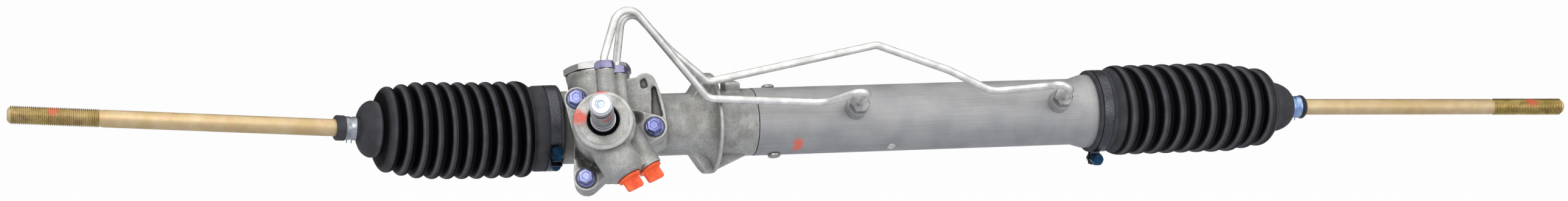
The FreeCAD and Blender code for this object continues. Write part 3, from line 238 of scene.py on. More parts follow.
def rings(tree, places, inner, outer, edge=0.3):
    # one between two distances in mm from any of the places, else nothing
    found = []
    for place in places:
        away = distanceFrom(tree, place)
        found.append(product(tree, (away, ((inner - edge) * mm, inner * mm), (0, 1)),
                             (away, (outer * mm, (outer + edge) * mm), (1, 0))))
    return strongest(tree, found)


castLook = {
    "tones": ("#a09f9a", "#c8c7c3"),
    "blotch": "#8c8e93",
    "pit": "#66655f",
    "wornEdge": "#e6e5e3",
    "creaseShade": "#5c5b56",
    # round each bolt: inner and outer radius in mm, colour and strength, first faced metal, then a ring of
    # painted shadow
    "boltRings": ((8.6, 9.6, "#dddcda", 1.0), (6.6, 8.2, "#35353a", 0.75)),
    "bevelHighlight": "#d4d3d0",
    # painted shade in corners and hollows: how far off in mm their walls stand, the band of openness,
    # strength and colour, widest last
    "cornerShade": (
        (7.0, (0.35, 0.95), 0.9, "#3a3936"),
        (2.5, (0.4, 0.95), 0.7, "#3a3936"),
        (40.0, (0.3, 0.85), 0.7, "#62615e"),
    ),
    "dab": "#e8604e",
}


def castAluminium(name, spots, boltSeats):
    # sand-cast and shot-blasted aluminium: soft warm grey with cool blotches and a fine pitted grain, pale
    # worn edges, painted shade in creases, corners and hollows, and at each bolt a bright faced ring round a
    # ring of painted shadow
    look = castLook
    material, tree, shader = newMaterial(name)
    tone = layer(tree, *look["tones"], grain(tree, 14), (0.35, 0.65))
    tone = layer(tree, tone, look["blotch"], grain(tree, 30, 2), (0.45, 0.75), (0, 0.5))
    pits = grain(tree, 0.9, 4)
    tone = layer(tree, tone, look["pit"], pits, (0.25, 0.55), (0.55, 0))
    edge = add(tree, "NewGeometry").outputs["Pointiness"]
    tone = layer(tree, tone, look["wornEdge"], edge, (0.51, 0.57), (0, 0.8))
    # painted shade: darker along hollow creases
    tone = layer(tree, tone, look["creaseShade"], edge, (0.49, 0.42), (0, 0.7))
    # the second, darker ring round each bolt is painted shadow
    for inner, outer, colour, strength in look["boltRings"]:
        tone = layer(tree, tone, colour, rings(tree, boltSeats, inner, outer), (0, 1), (0, strength))
    # painted highlight: a pale ring on the neck ring's bevel, patchy with grain
    bevel = rings(tree, [onShaft(0, 0, gearCase["ringFace"])], *gearCase["ringBevel"])
    paleShare = product(tree, (bevel, (0, 1), (0, 1)), (grain(tree, 8), (0.35, 0.6), (0.2, 0.8)))
    tone = layer(tree, tone, look["bevelHighlight"], paleShare)
    # painted shade: darker where walls stand close, in corners and hollows
    for reach, band, strength, colour in look["cornerShade"]:
        openness = add(tree, "AmbientOcclusion", {"Distance": reach * mm}, samples=12).outputs["AO"]
        tone = layer(tree, tone, colour, openness, band, (strength, 0))
    # the widest reach, last, also makes the hollows less metallic
    tone = paintDabs(tree, shader, tone, spots, look["dab"], 0.1, [(openness, (0.25, 0.8), (0.15, 0.85))])
    height = add(tree, "Math", {0: pits, 1: grain(tree, 5, 2)}, operation="ADD").outputs[0]
    surface(tree, shader, tone, (grain(tree, 5), (0.3, 0.7), (0.44, 0.6)), height, 0.45, 0.7)
    return material


def platedTube(name, spots):
    # drawn steel tube, dull zinc plated: even mid grey, faint draw lines along it and cloudy handling marks
    material, tree, shader = newMaterial(name, {"Metallic": 1.0})
    coords = add(tree, "TexCoord").outputs["Object"]
    along = add(tree, "Mapping", {"Vector": coords, "Scale": (0.03, 1, 1)}).outputs["Vector"]
    lines = grain(tree, 1.2, 4, 0.6, along)
    clouds = grain(tree, 22, 3)
    tone = layer(tree, "#acacad", "#c0bfbe", clouds, (0.35, 0.7))
    tone = layer(tree, tone, "#838489", lines, (0.3, 0.7), (0.22, 0))
    tone = layer(tree, tone, "#7b7a76", grain(tree, 2.4, 5, 0.7), (0.62, 0.72), (0, 0.35))
    tone = paintDabs(tree, shader, tone, spots, "#e0604a")
    surface(tree, shader, tone, (clouds, (0.3, 0.7), (0.6, 0.72)), lines, 0.05, 0.4)
    return material


def platedPipe():
    # thin steel pipe, bright zinc: near-white metal, barely warm, with small ripples from the bending rolls
    material, tree, shader = newMaterial("zincPlatedPipe", {"Metallic": 1.0})
    tone = layer(tree, "#d3d2cf", "#eeedea", grain(tree, 9), (0.35, 0.65))
    tone = layer(tree, tone, "#aba9a2", grain(tree, 1.4, 4), (0.55, 0.75), (0, 0.35))
    surface(tree, shader, tone, (grain(tree, 4), (0.3, 0.7), (0.38, 0.52)), grain(tree, 3.5, 2), 0.12, 0.5)
    return material


def chromatedSteel(name, first, second, third, roughness=0.3, spots=()):
    # zinc plate passivated in chromate: the thin film tints the metal and drifts through neighbouring hues
    material, tree, shader = newMaterial(name, {"Metallic": 1.0})
    fine = grain(tree, 0.8, 3)
    tone = layer(tree, first, second, grain(tree, 16, 3), (0.35, 0.65))
    tone = layer(tree, tone, third, grain(tree, 7, 2), (0.5, 0.72), (0, 0.8))
    tone = layer(tree, tone, "#5a5448", fine, (0.3, 0.5), (0.2, 0))
    tone = paintDabs(tree, shader, tone, spots, "#dd6448")
    surface(tree, shader, tone, (fine, (0.3, 0.7), (roughness - 0.06, roughness + 0.1)), fine, 0.03, 0.4)
    return material


def unionNutZinc():
    # zinc plated nuts: violet chromate on the pair at the valve, plain grey zinc on the pair at the tube
    material, tree, shader = newMaterial("unionNutZinc", {"Metallic": 1.0})
    drift = grain(tree, 7, 3)
    violet = layer(tree, "#7f7ca6", "#a9a7c2", drift, (0.35, 0.65))
    grey = layer(tree, "#8b8b8c", "#b5b5b5", drift, (0.35, 0.65))
    along = add(tree, "SeparateXYZ", {0: add(tree, "TexCoord").outputs["Object"]}).outputs["X"]
    tone = layer(tree, violet, grey, along, (-40 * mm, 40 * mm))
    surface(tree, shader, tone, (grain(tree, 3), (0.3, 0.7), (0.34, 0.48)), grain(tree, 1.0, 3), 0.03, 0.4)
    return material


def steel(name, pale, dark, roughness, spots=()):
    # turned or ground steel: fine tool lines under a cool bright grey
    material, tree, shader = newMaterial(name, {"Metallic": 1.0})
    lines = grain(tree, 0.6, 3)
    tone = layer(tree, dark, pale, lines, (0.3, 0.7))
    tone = paintDabs(tree, shader, tone, spots, "#b0453c")
    surface(tree, shader, tone, (grain(tree, 6), (0.3, 0.7), (roughness, roughness + 0.12)), lines, 0.02, 0.5)
    return material


# the film and the arc of painted shade on the shaft's end: their middle and radii in mm
endLook = {
    "middle": (-0.8, 0.2),
    "filmEdge": (2.4, 3.3),
    "arcStart": (2.9, 3.2),
    "arcEnd": (3.6, 4.1),
    "arcFade": 1.5,
}


def groundEnd():
    # shaft end ground flat: pale and cool, with a bluish centre where the film is thickest and an arc of
    # painted shade at its left
    look = endLook
    material, tree, shader = newMaterial("groundShaftEnd", {"Metallic": 1.0})
    middle = onShaft(*look["middle"], gearCase["shaftEnd"])
    away = raggedDistance(tree, middle, 2.5, 0.7)
    filmEdge, arcStart, arcEnd = ([r * mm for r in look[key]] for key in ("filmEdge", "arcStart", "arcEnd"))
    tone = layer(tree, "#c3c7d2", "#d9dce2", grain(tree, 4), (0.35, 0.65))
    tone = layer(tree, tone, "#8f9ccb", away, filmEdge, (0.8, 0))
    # painted shade: a dark arc on the left side of the centre
    side = add(tree, "SeparateXYZ", {0: add(tree, "TexCoord").outputs["Object"]}).outputs["X"]
    sides = ((middle[0] - look["arcFade"]) * mm, (middle[0] + look["arcFade"]) * mm)
    arc = product(tree, (away, arcStart, (0, 1)), (away, arcEnd, (1, 0)), (side, sides, (0.75, 0.1)))
    tone = layer(tree, tone, "#3f4450", arc)
    surface(tree, shader, tone, (grain(tree, 3), (0.3, 0.7), (0.3, 0.45)), grain(tree, 0.8, 3), 0.02, 0.5)
    return material


def rubber(name, pale, dark):
    # moulded chloroprene rubber: deep dull black, greyed by painted light where the vertex share says: lit
    # flanks and crest and lip highlights on the folds and dome, with a fine mould grain
    material, tree, shader = newMaterial(name, {"IOR": 1.4, "Specular IOR Level": 0.08})
    # the grey share set on the boot's vertices stands for painted light
    paleShare = add(tree, "Attribute", attribute_name="paintedLight").outputs["Fac"]
    paleShare = product(tree, (paleShare, (0, 1), (0, 1)), (grain(tree, 11, 4), (0.3, 0.7), (0.72, 1.1)))
    tone = layer(tree, dark, pale, paleShare)
    surface(tree, shader, tone, (grain(tree, 3), (0.3, 0.7), (0.5, 0.68)), grain(tree, 0.9, 4), 0.06, 0.5)
    return material


def capPlastic():
    # soft moulded polyethylene: saturated orange, waxy, lets a little light in at thin tabs
    material, tree, shader = newMaterial("mouldedPolyethylene", {
        "Roughness": 0.38, "IOR": 1.51, "Subsurface Weight": 0.25, "Subsurface Radius": (1.0, 0.35, 0.12),
        "Subsurface Scale": 1.5 * mm,
    })
    tone = layer(tree, "#ee4f1a", "#ff7038", grain(tree, 6, 2), (0.35, 0.65))
    surface(tree, shader, tone, None, grain(tree, 1.5, 2), 0.08, 0.4)
    return material


def seatAcetal():
    # machined acetal: creamy white with slight mottling only
    material, tree, shader = newMaterial("acetalSeat", {"Roughness": 0.45})
    tone = layer(tree, "#cfc9b8", "#e2ddce", grain(tree, 4), (0.35, 0.65))
    surface(tree, shader, tone, None, grain(tree, 0.7, 3), 0.03, 0.4)
    return material


# places in mm and sizes of the red inspection dabs
paint = {
    "ring": [(onShaft(-0.1, 22.6, 92.5), 7.0), (onShaft(-17.7, 3.4, 93.5), 7.5)],
    "tube": [((43.6, -21.0, -14.6), 5.4), ((43.6, -18.6, -19.6), 5.0)],
    "threads": [((-527.3, -4.0, 25.6), 5.6), ((704.9, -4.0, -3.0), 6.6)],
    "shaft": [(onShaft(4.6, -7.4, 125.0), 6.5)],
}
boltSeats = [onShaft(u, v, gearCase["boltSeat"]) for u, v in gearCase["boltPlaces"]]

finishes = {
    "cast_aluminium": castAluminium("shotBlastedAluminium", paint["ring"], boltSeats),
    "zinc_steel": platedTube("dullZincTube", paint["tube"]),
    "blue_zinc": chromatedSteel("blueZincBolt", "#696ea2", "#9297c0", "#524f84", 0.36),
    "ground_steel": steel("groundSteel", "#d4d4d6", "#a9aaad", 0.22),
    "bright_steel": steel("brightSteel", "#e4e4e6", "#c4c5c8", 0.18),
    "turned_steel": steel("turnedSteel", "#b7b6b2", "#8e8d89", 0.34),
    "boot_rubber": rubber("mouldedBootRubber", "#5d5d61", "#050506"),
    "seal_rubber": rubber("sealRubber", "#5b5b5f", "#0c0c0e"),
    # the band's pale tone, laid in fine grain, stands for painted glints on the dark steel
    "black_band": steel("blackenedBand", "#6b6c72", "#222327", 0.3),
    "plug_plastic": capPlastic(),
    "seat_plastic": seatAcetal(),
    # sintered bronze drifts in hue much as a chromate film does
    "bush_bronze": chromatedSteel("sinteredBronze", "#a8783f", "#b98a50", "#8f6534", 0.42),
}
pipeZinc = platedPipe()
goldZinc = chromatedSteel("yellowZincRod", "#ccb486", "#dac6a0", "#d6b094", 0.55)
threadZinc = chromatedSteel("yellowZincThread", "#ad9a5c", "#ccba80", "#94804a", 0.3, paint["threads"])
darkZinc = chromatedSteel("darkBlueZinc", "#14324c", "#1f4d6e", "#0e2236", 0.3)
clipFinish = {
    "left": chromatedSteel("clipSpringSteel", "#8f949b", "#a9aeb4", "#80868e", 0.34),
    "right": chromatedSteel("blueClipSpringSteel", "#7fa2d4", "#a9bfdc", "#5f86cc", 0.34),
}
shaftSteel = steel("turnedShaftSteel", "#cfced1", "#98979b", 0.42, paint["shaft"])
shaftEnd = groundEnd()
# darker steel in the clamp groove
shaftGroove = steel("darkGrooveSteel", "#62605e", "#3b3a39", 0.42)

# frame nodes whose finish isn't their slot's
ownFinish = {
    "front_pipe": pipeZinc,
    "rear_pipe": pipeZinc,
    "left_clamp_screw": darkZinc,
    "right_clamp_screw": darkZinc,
    "pipe_nuts": unionNutZinc(),
    "yoke_lock_nut": steel("lockNutSteel", "#b4b3b1", "#8d8c8a", 0.34),
}
for nodeName, piece in nodes.items():
    slotName = piece.data.materials[0].name.split(".")[0]
    piece.data.materials.clear()
    piece.data.materials.append(ownFinish.get(nodeName, finishes[slotName]))
print("materials made:", len(bpy.data.materials))


# Castings and plugs: the frame's solids with their corners softened as the mould leaves them

mostTriangles = 190000        # in one piece, past which it is thinned
softened = {
    "rack_housing": {
        "name": "gearCaseCasting", "slot": "cast_aluminium", "voxel": 0.95, "smoothing": 4,
        # floors of the cored pockets: middle, size and turn in the shaft's frame, in mm and degrees
        "added": [((40.0, 25.5, 18.5), (8.6, 22.0, 12.0), 0), ((32.5, 41.5, 24.0), (7.0, 9.0, 6.0), 0)],
        "dents": [],
    },
    "valve_housing": {
        "name": "valveBodyCasting", "slot": "cast_aluminium", "voxel": 0.7, "smoothing": 3,
        # the web between the two pipe bosses
        "added": [((8.5, 31.0, 66.5), (7.0, 20.0, 21.0), -25.3)],
        # hollows between the plate's rim and the barrel: place on the surface, reach and depth in mm
        "dents": [
            ((-22.5, -5.0, 48.0), 6.5, 5.0),
            ((-20.0, -13.0, 48.0), 7.5, 7.5),
            ((-16.0, -20.5, 48.0), 8.0, 8.0),
            ((-9.5, -24.5, 48.0), 7.5, 7.0),
            ((24.5, -8.0, 48.0), 7.0, 6.5),
            ((24.0, 11.0, 48.0), 7.0, 6.5),
        ],
    },
    "port_plugs": {
        "name": "transitPlugs", "slot": "plug_plastic", "voxel": 0.5, "smoothing": 30,
        "added": [],
        "dents": [],
    },
}


def softenedPiece(nodeName, mould):
    bm = bmesh.new()
    bm.from_mesh(nodes[nodeName].data)
    bmesh.ops.remove_doubles(bm, verts=bm.verts, dist=1e-6)
    for middle, size, turn in mould["added"]:
        block = bmesh.new()
        bmesh.ops.create_cube(block, size=1.0)
        stretch = Matrix.Diagonal((*(Vector(size) * mm), 1))
        place = Matrix.Translation(Vector(middle) * mm) @ Matrix.Rotation(math.radians(turn), 4, "Y")
        placeCopy(bm, block, shaftPlace @ place @ stretch)
    piece = finishMesh(bm, mould["name"], recalc=False)
    remesh = piece.modifiers.new("mould", "REMESH")
    remesh.mode = "VOXEL"
    remesh.voxel_size = mould["voxel"] * mm
    remesh.use_smooth_shade = True
    soften = piece.modifiers.new("soften", "SMOOTH")
    soften.iterations = mould["smoothing"]
    soften.factor = 0.5
    applyModifiers(piece, mould["name"])
    triangles = sum(len(face.vertices) - 2 for face in piece.data.polygons)
    if triangles > mostTriangles:
        thin = piece.modifiers.new("thin", "DECIMATE")
        thin.ratio = mostTriangles / triangles
        applyModifiers(piece, mould["name"])
    inward = shaftPlace.to_3x3() @ Vector((0, 0, -1))
    for middle, reach, depth in mould["dents"]:
        centre = Vector(onShaft(*middle)) * mm
        for v in piece.data.vertices:
            away = (v.co - centre).length / (reach * mm)
            if away < 1:
                v.co += inward * depth * mm * (1 - away * away) ** 2
    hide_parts(nodeName)
    dress(piece, finishes[mould["slot"]], "housing")
    print(mould["name"], len(piece.data.polygons), "faces")


for nodeName, mould in softened.items():
    softenedPiece(nodeName, mould)


# Boots

bootShape = {
    "wall": 1.5,
    "collarR": 33.6,
    "collarLip": 3.0,
    "grooveWidth": 9.0,
    "grooveDepth": 0.8,
    "crestR": 37.6,
    "foldDepth": 5.4,
    "foldRound": 2.3,         # above 2 is a fuller crest over a narrower valley
    "firstFoldExtra": 4.0,
    "samples": 20,            # outline points in each fold
    "innerSamples": 4,        # and in each fold of the inner wall
    "askew": 0.13,            # how far the free folds stand turned, as a slope
    "freeFrom": 6.0,          # mm before the first valley where the rubber is free to move
    "freeOver": 14.0,         # mm over which it comes quite free
    "sagCurve": 1.5,          # above 1 the sag starts gently
    "wander": 0.5,            # mm that a free fold may stray along the rack
    "wanderScale": (0.045, 0.02),
    "wanderSeed": 3.0,
    # share across a fold from its left valley, and how far painted light greys the rubber there: a lit
    # flank, then a thin dark line and a painted highlight by the crest
    "paintedLight": ((0.0, 0.0), (0.17, 0.0), (0.22, 1.0), (0.3, 0.8), (0.36, 0.4), (0.41, 0.25), (0.44, 0.5),
             (0.46, 0.4), (0.49, 0.0), (1.0, 0.0)),
    "collarGrey": 0.55,       # the same on the collar
    # and on the last fold's far flank and the dome, the same painted light, by distance in mm from the last
    # fold's far valley, with a painted highlight at the dome's lip
    "domeLight": ((-6.5, 0.15), (-4.5, 0.6), (-1.5, 0.35), (0.0, 0.0), (2.0, 0.0), (3.6, 0.95), (5.5, 0.75),
                 (7.5, 0.45), (60.0, 0.75)),
    "domeStart": 6.5,         # mm from the last fold to the dome's curve
    "domeGap": 2.0,           # and from there to the clip
    "domeSteps": 7,
    "domeRound": (1.15, 0.9),      # powers that round its shoulder, along and across
    "steps": 96,
    "neckR": 8.2,
    "clipWidth": 8.0,
}
bootSides = {
    "left": {
        "side": -1, "lip": -146.0, "seatR": 29.0, "firstValley": -172.35, "pitch": 11.3, "crests": 10,
        "shrink": 0.0, "fade": (0.5, 2.3, 4.5), "seamFold": 8, "ball": -240.0, "tilt": 4.1,
        "clip": 67.2, "bulbR": 22.0, "tail": 7.4, "lift": (-205.0, -295.0), "lean": (-0.054, 0.06),
    },
    "right": {
        "side": 1, "lip": 296.0, "seatR": 30.0, "firstValley": 316.75, "pitch": 13.7, "crests": 10,
        "shrink": 0.6, "fade": (0.4, 2.6, 4.6), "seamFold": 9, "ball": 415.0, "tilt": 1.65,
        "clip": 68.2, "bulbR": 20.9, "tail": 2.8, "lift": (380.0, 475.0), "lean": (-0.026, 0.02),
    },
}


def crestRadius(boot, n):
    fromEnd = boot["crests"] - 1 - n
    fade = boot["fade"][::-1]
    return bootShape["crestR"] - boot["shrink"] - (fade[fromEnd] if fromEnd < len(fade) else 0)


def valleyRadius(boot, n):
    # valley between crest n - 1 and crest n
    near = crestRadius(boot, max(n - 1, 0))
    far = crestRadius(boot, min(n, boot["crests"] - 1))
    return min(near, far) - bootShape["foldDepth"]


def valleyPlace(boot, n):
    return boot["firstValley"] + boot["side"] * boot["pitch"] * n


def foldOutline(boot, first, last, inset, samples):
    points = []
    for n in range(first, last):
        near = valleyPlace(boot, n)
        far = near + boot["side"] * boot["pitch"]
        top = (near + far) / 2
        if n == 0:
            near -= boot["side"] * bootShape["firstFoldExtra"]
        for k in range(samples):
            t = k / samples
            x = near + (top - near) * 2 * t if t < 0.5 else top + (far - top) * (2 * t - 1)
            base = valleyRadius(boot, n) if t < 0.5 else valleyRadius(boot, n + 1)
            rise = (crestRadius(boot, n) - base) * (1 - abs(2 * t - 1) ** bootShape["foldRound"])
            points.append((x, base + rise - inset))
    points.append((valleyPlace(boot, last), valleyRadius(boot, last) - inset))
    return points


def rodHeight(boot, x):
    # height of the tie rod's axis at row place x
    return abs(x - boot["ball"]) * math.tan(math.radians(boot["tilt"])) * -boot["side"]


def between(points, place):
    # height at a place on a broken line
    for (x0, y0), (x1, y1) in zip(points, points[1:]):
        if place <= x1:
            return y0 + (y1 - y0) * (place - x0) / (x1 - x0)
    return points[-1][1]


def markPaintedLight(boot, bm):
    # done while the folds are still straight, so that a station says where in its fold a point lies
    # a grey share of painted light: lit flanks, highlights by the crests, the lit dome and its lip highlight
    paintedLight = bm.verts.layers.float.new("paintedLight")
    for v in bm.verts:
        folds = (v.co.x / mm - boot["firstValley"]) / (boot["side"] * boot["pitch"])
        if folds <= 0:
            v[paintedLight] = bootShape["collarGrey"]
        elif folds < boot["crests"] - 0.5:
            share = folds % 1
            v[paintedLight] = between(bootShape["paintedLight"], share if boot["side"] > 0 else 1 - share)
        else:
            past = (folds - boot["crests"]) * boot["pitch"]
            v[paintedLight] = between(bootShape["domeLight"], max(past, bootShape["domeLight"][0][0]))


def settle(boot, bm):
    # the free folds sag onto the tie rod's line and lean a little, and no two are quite alike
    s = bootShape
    start, end = boot["lift"]
    leanNear, leanFar = boot["lean"]
    wanderX, wanderZ = s["wanderScale"]
    collarEnd = boot["firstValley"] - boot["side"] * s["freeFrom"]
    foldsEnd = valleyPlace(boot, boot["crests"])
    for v in bm.verts:
        x, z = v.co.x / mm, v.co.z / mm
        free = min(max((x - collarEnd) / (boot["side"] * s["freeOver"]), 0), 1)
        share = min(max((x - boot["firstValley"]) / (foldsEnd - boot["firstValley"]), 0), 1)
        lean = free * (leanNear + (leanFar - leanNear) * share)
        run = min(max((x - start) / (end - start), 0), 1)
        lift = rodHeight(boot, end) * run ** s["sagCurve"] if run < 1 else rodHeight(boot, x)
        stray = noise.noise(Vector((x * wanderX, s["wanderSeed"], z * wanderZ)))
        wander = stray * s["wander"] * free * (1 - share)
        v.co.x += (lean * z + wander) * mm - free * s["askew"] * v.co.y
        v.co.z += lift * mm


def bootShell(sideName, boot, partName, outline):
    bm = bmesh.new()
    spinOutline(bm, outline, bootShape["steps"])
    markPaintedLight(boot, bm)
    settle(boot, bm)
    shell = finishMesh(bm, sideName + partName, smoothAngle=55)
    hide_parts(sideName + "_boot")
    dress(shell, finishes["boot_rubber"])
    return shell


def bootFolds(sideName, boot):
    s = bootShape
    side = boot["side"]
    lip = boot["lip"]
    groove = lip + side * s["collarLip"]
    grooveEnd = groove + side * s["grooveWidth"]
    seam = boot["seamFold"]
    start = boot["firstValley"] - side * s["firstFoldExtra"]
    collar = s["collarR"]
    grooveR = collar - s["grooveDepth"]
    outer = [
        (lip, boot["seatR"] + 0.05), (lip, collar - 1.2),
        (lip + side * 0.8, collar - 0.2), (lip + side * 1.6, collar),
        (groove - side * 0.6, collar), (groove, grooveR),
        (grooveEnd, grooveR), (grooveEnd + side * 0.6, collar),
        (start - side * 3.0, collar - 0.1), (start - side * 1.4, collar - 0.8),
    ]
    outer += foldOutline(boot, 0, seam, 0.0, s["samples"])
    inner = foldOutline(boot, 0, seam, s["wall"], s["innerSamples"])[::-1]
    inner += [(start, boot["seatR"] + 0.05)]
    folds = bootShell(sideName, boot, "BootFolds", outer + inner)
    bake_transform(folds)


def bootNeck(sideName, boot):
    s = bootShape
    side = boot["side"]
    seam = boot["seamFold"]
    foldsEnd = valleyPlace(boot, boot["crests"])
    bulb = boot["bulbR"]
    wall = s["wall"]
    neckR = s["neckR"]
    clipStart = boot["ball"] + side * (boot["clip"] - s["clipWidth"] / 2)
    clipEnd = clipStart + side * s["clipWidth"]
    tailEnd = clipEnd + side * (0.3 + boot["tail"])
    domeStart = foldsEnd + side * s["domeStart"]
    domeEnd = clipStart - side * s["domeGap"]
    roundX, roundR = s["domeRound"]
    dome = []
    for k in range(s["domeSteps"] + 1):
        angle = math.pi / 2 * k / s["domeSteps"]
        dome.append((domeStart + (domeEnd - domeStart) * math.sin(angle) ** roundX,
                     neckR + (bulb - neckR) * math.cos(angle) ** roundR))
    outer = foldOutline(boot, seam, boot["crests"], 0.0, s["samples"])
    outer += [
        (foldsEnd + side * 0.8, bulb + 2.2), (foldsEnd + side * 1.8, bulb - 0.9),
        (foldsEnd + side * 3.6, bulb - 0.4),
    ]
    outer += dome
    outer += [
        (clipEnd + side * 0.3, neckR), (clipEnd + side * 0.9, neckR + 1.5),
        (tailEnd - side * 0.9, neckR + 1.6), (tailEnd, neckR + 0.8), (tailEnd, neckR - 1.2),
    ]
    inner = [
        (domeEnd, neckR - 1.2), (domeEnd - side * 3.0, bulb * 0.62), (domeStart + side * 1.0, bulb - wall),
        (foldsEnd + side * 1.5, bulb - wall - 1.0), (foldsEnd - side * 0.4, bulb + 1.0),
    ]
    inner += foldOutline(boot, seam, boot["crests"], wall, s["innerSamples"])[::-1][1:]
    neck = bootShell(sideName, boot, "BootNeck", outer + inner)
    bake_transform(neck)


for sideName, boot in bootSides.items():
    bootFolds(sideName, boot)
    bootNeck(sideName, boot)
print("boots made")


# Wire clips on the small ends of the boots

clipShape = {
    "wall": 0.9, "clearance": 0.02, "groove": 1.2, "grooveDepth": 0.4, "steps": 64,
    "wire": 0.45, "tail": 2.6, "tailPlaces": (-2.4, 1.2), "tailSunk": 0.4,
}


def rodClip(sideName, boot):
    s = clipShape
    half = bootShape["clipWidth"] / 2
    low = bootShape["neckR"] + s["clearance"]
    high = low + s["wall"]
    grooveR = high - s["grooveDepth"]
    outline = [
        (-half, low), (-half, high), (-s["groove"], high), (-s["groove"] / 2, grooveR),
        (s["groove"] / 2, grooveR), (s["groove"], high), (half, high), (half, low),
    ]
    bm = bmesh.new()
    spinOutline(bm, outline, s["steps"])
    for place in s["tailPlaces"]:
        # the two wire ends stand out below
        tail = bmesh.new()
        bmesh.ops.create_cone(tail, cap_ends=True, segments=10, radius1=s["wire"] * mm,
                              radius2=s["wire"] * 0.7 * mm, depth=s["tail"] * mm)
        height = -high - s["tail"] / 2 + s["tailSunk"]
        placeCopy(bm, tail, Matrix.Translation(Vector((place, 0, height)) * mm))
    tilt = Matrix.Rotation(math.radians(boot["tilt"]), 4, "Y")
    centre = Matrix.Translation((boot["side"] * boot["clip"] * mm, 0, 0))
    place = Matrix.Translation((boot["ball"] * mm, 0, 0)) @ tilt @ centre
    clip = finishMesh(bm, sideName + "WireClip", place, smoothAngle=35)
    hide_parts(sideName + "_rod_clip")
    dress(clip, clipFinish[sideName], sideName + "_rod")


for sideName, boot in bootSides.items():
    rodClip(sideName, boot)
print("wire clips made")


# Tie rods with rolled threads

rodShape = {
    "length": 321.5, "ballR": 11.5, "neckR": 5.6, "neckEnd": 26.0, "shankR": 6.65,
    "threadR": 7.0, "threadRoot": 6.05, "threadLength": 67.0, "pitch": 1.5,
    "ballSteps": 12, "steps": 48, "turnSteps": 24,
}


def tieRod(sideName, boot):
    s = rodShape
    threadStart = s["length"] - s["threadLength"]
    ballEdge = math.asin(s["neckR"] / s["ballR"])
    arc = []
    for k in range(s["ballSteps"] + 1):
        angle = math.pi + (ballEdge - math.pi) * k / s["ballSteps"]
        arc.append((s["ballR"] * math.cos(angle), s["ballR"] * math.sin(angle)))
    outline = arc + [
        (s["neckEnd"] - 8, s["neckR"]), (s["neckEnd"], s["shankR"]), (threadStart - 2.5, s["shankR"]),
        (threadStart - 1.0, s["threadRoot"] + 0.1), (s["length"] - 2.2, s["threadRoot"] + 0.1),
        (s["length"] - 0.7, s["threadRoot"] - 1.0), (s["length"], s["threadRoot"] - 2.4), (s["length"], 0),
    ]
    tilt = Matrix.Rotation(math.radians(boot["tilt"]), 4, "Y")
    half = Matrix.Rotation(math.pi if boot["side"] < 0 else 0, 4, "Z")
    place = Matrix.Translation((boot["ball"] * mm, 0, 0)) @ tilt @ half
    bm = bmesh.new()
    spinOutline(bm, outline, s["steps"])
    rod = finishMesh(bm, sideName + "TieRod", place, smoothAngle=30)
    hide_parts(sideName + "_tie_rod")
    dress(rod, goldZinc, sideName + "_rod")

    # the thread is one tooth's outline wound along the rod
    turns = int((s["threadLength"] - 2.5) / s["pitch"])
    low, high = s["threadRoot"] - 0.2, s["threadR"]
    corners = [(0, low), (s["pitch"] * 0.42, high), (s["pitch"] * 0.58, high), (s["pitch"], low)]
    bm = bmesh.new()
    tooth = bm.faces.new([bm.verts.new(((threadStart - 0.8 + x) * mm, 0, r * mm)) for x, r in corners])
    bmesh.ops.spin(bm, geom=[tooth], cent=(0, 0, 0), axis=xAxis, angle=2 * math.pi * turns,
                   steps=turns * s["turnSteps"], dvec=(s["pitch"] / s["turnSteps"] * mm, 0, 0),
                   use_merge=False, use_duplicate=False)
    thread = finishMesh(bm, sideName + "RodThread", place, smoothAngle=30)
    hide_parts(sideName + "_tie_rod")
    dress(thread, threadZinc, sideName + "_rod")
    print(sideName, "tie rod made, with", turns, "turns of thread")


for sideName, boot in bootSides.items():
    tieRod(sideName, boot)


# Input shaft: serrated stub with its clamp groove

inputShape = {
    "noseStart": 39.0, "noseR": 8.0, "spoolStart": 44.5, "spoolR": 11.0, "spoolEnd": 82.0, "bearingR": 9.6,
    "stubStart": 99.0, "stubR": 8.8, "rootR": 8.1, "teeth": 36, "toothStart": 104.0,
    "grooveStart": 133.0, "grooveEnd": 139.0, "grooveR": 7.5, "end": gearCase["shaftEnd"], "bevel": 1.2,
    "centreR": 2.9, "centreDepth": 0.5, "steps": 64,
}


def serrations(bm, start, end):
    s = inputShape
    circle = bmesh.ops.create_circle(bm, cap_ends=True, radius=s["stubR"] * mm, segments=2 * s["teeth"])
    ring = circle["verts"]
    for n, v in enumerate(ring):
        if n % 2:
            v.co *= s["rootR"] / s["stubR"]
    bmesh.ops.translate(bm, verts=ring, vec=(0, 0, start * mm))
    face = [f for f in bm.faces if all(v in ring for v in f.verts)]
    top = bmesh.ops.extrude_face_region(bm, geom=face)["geom"]
    topVerts = [g for g in top if isinstance(g, bmesh.types.BMVert)]
    bmesh.ops.translate(bm, verts=topVerts, vec=(0, 0, (end - start) * mm))


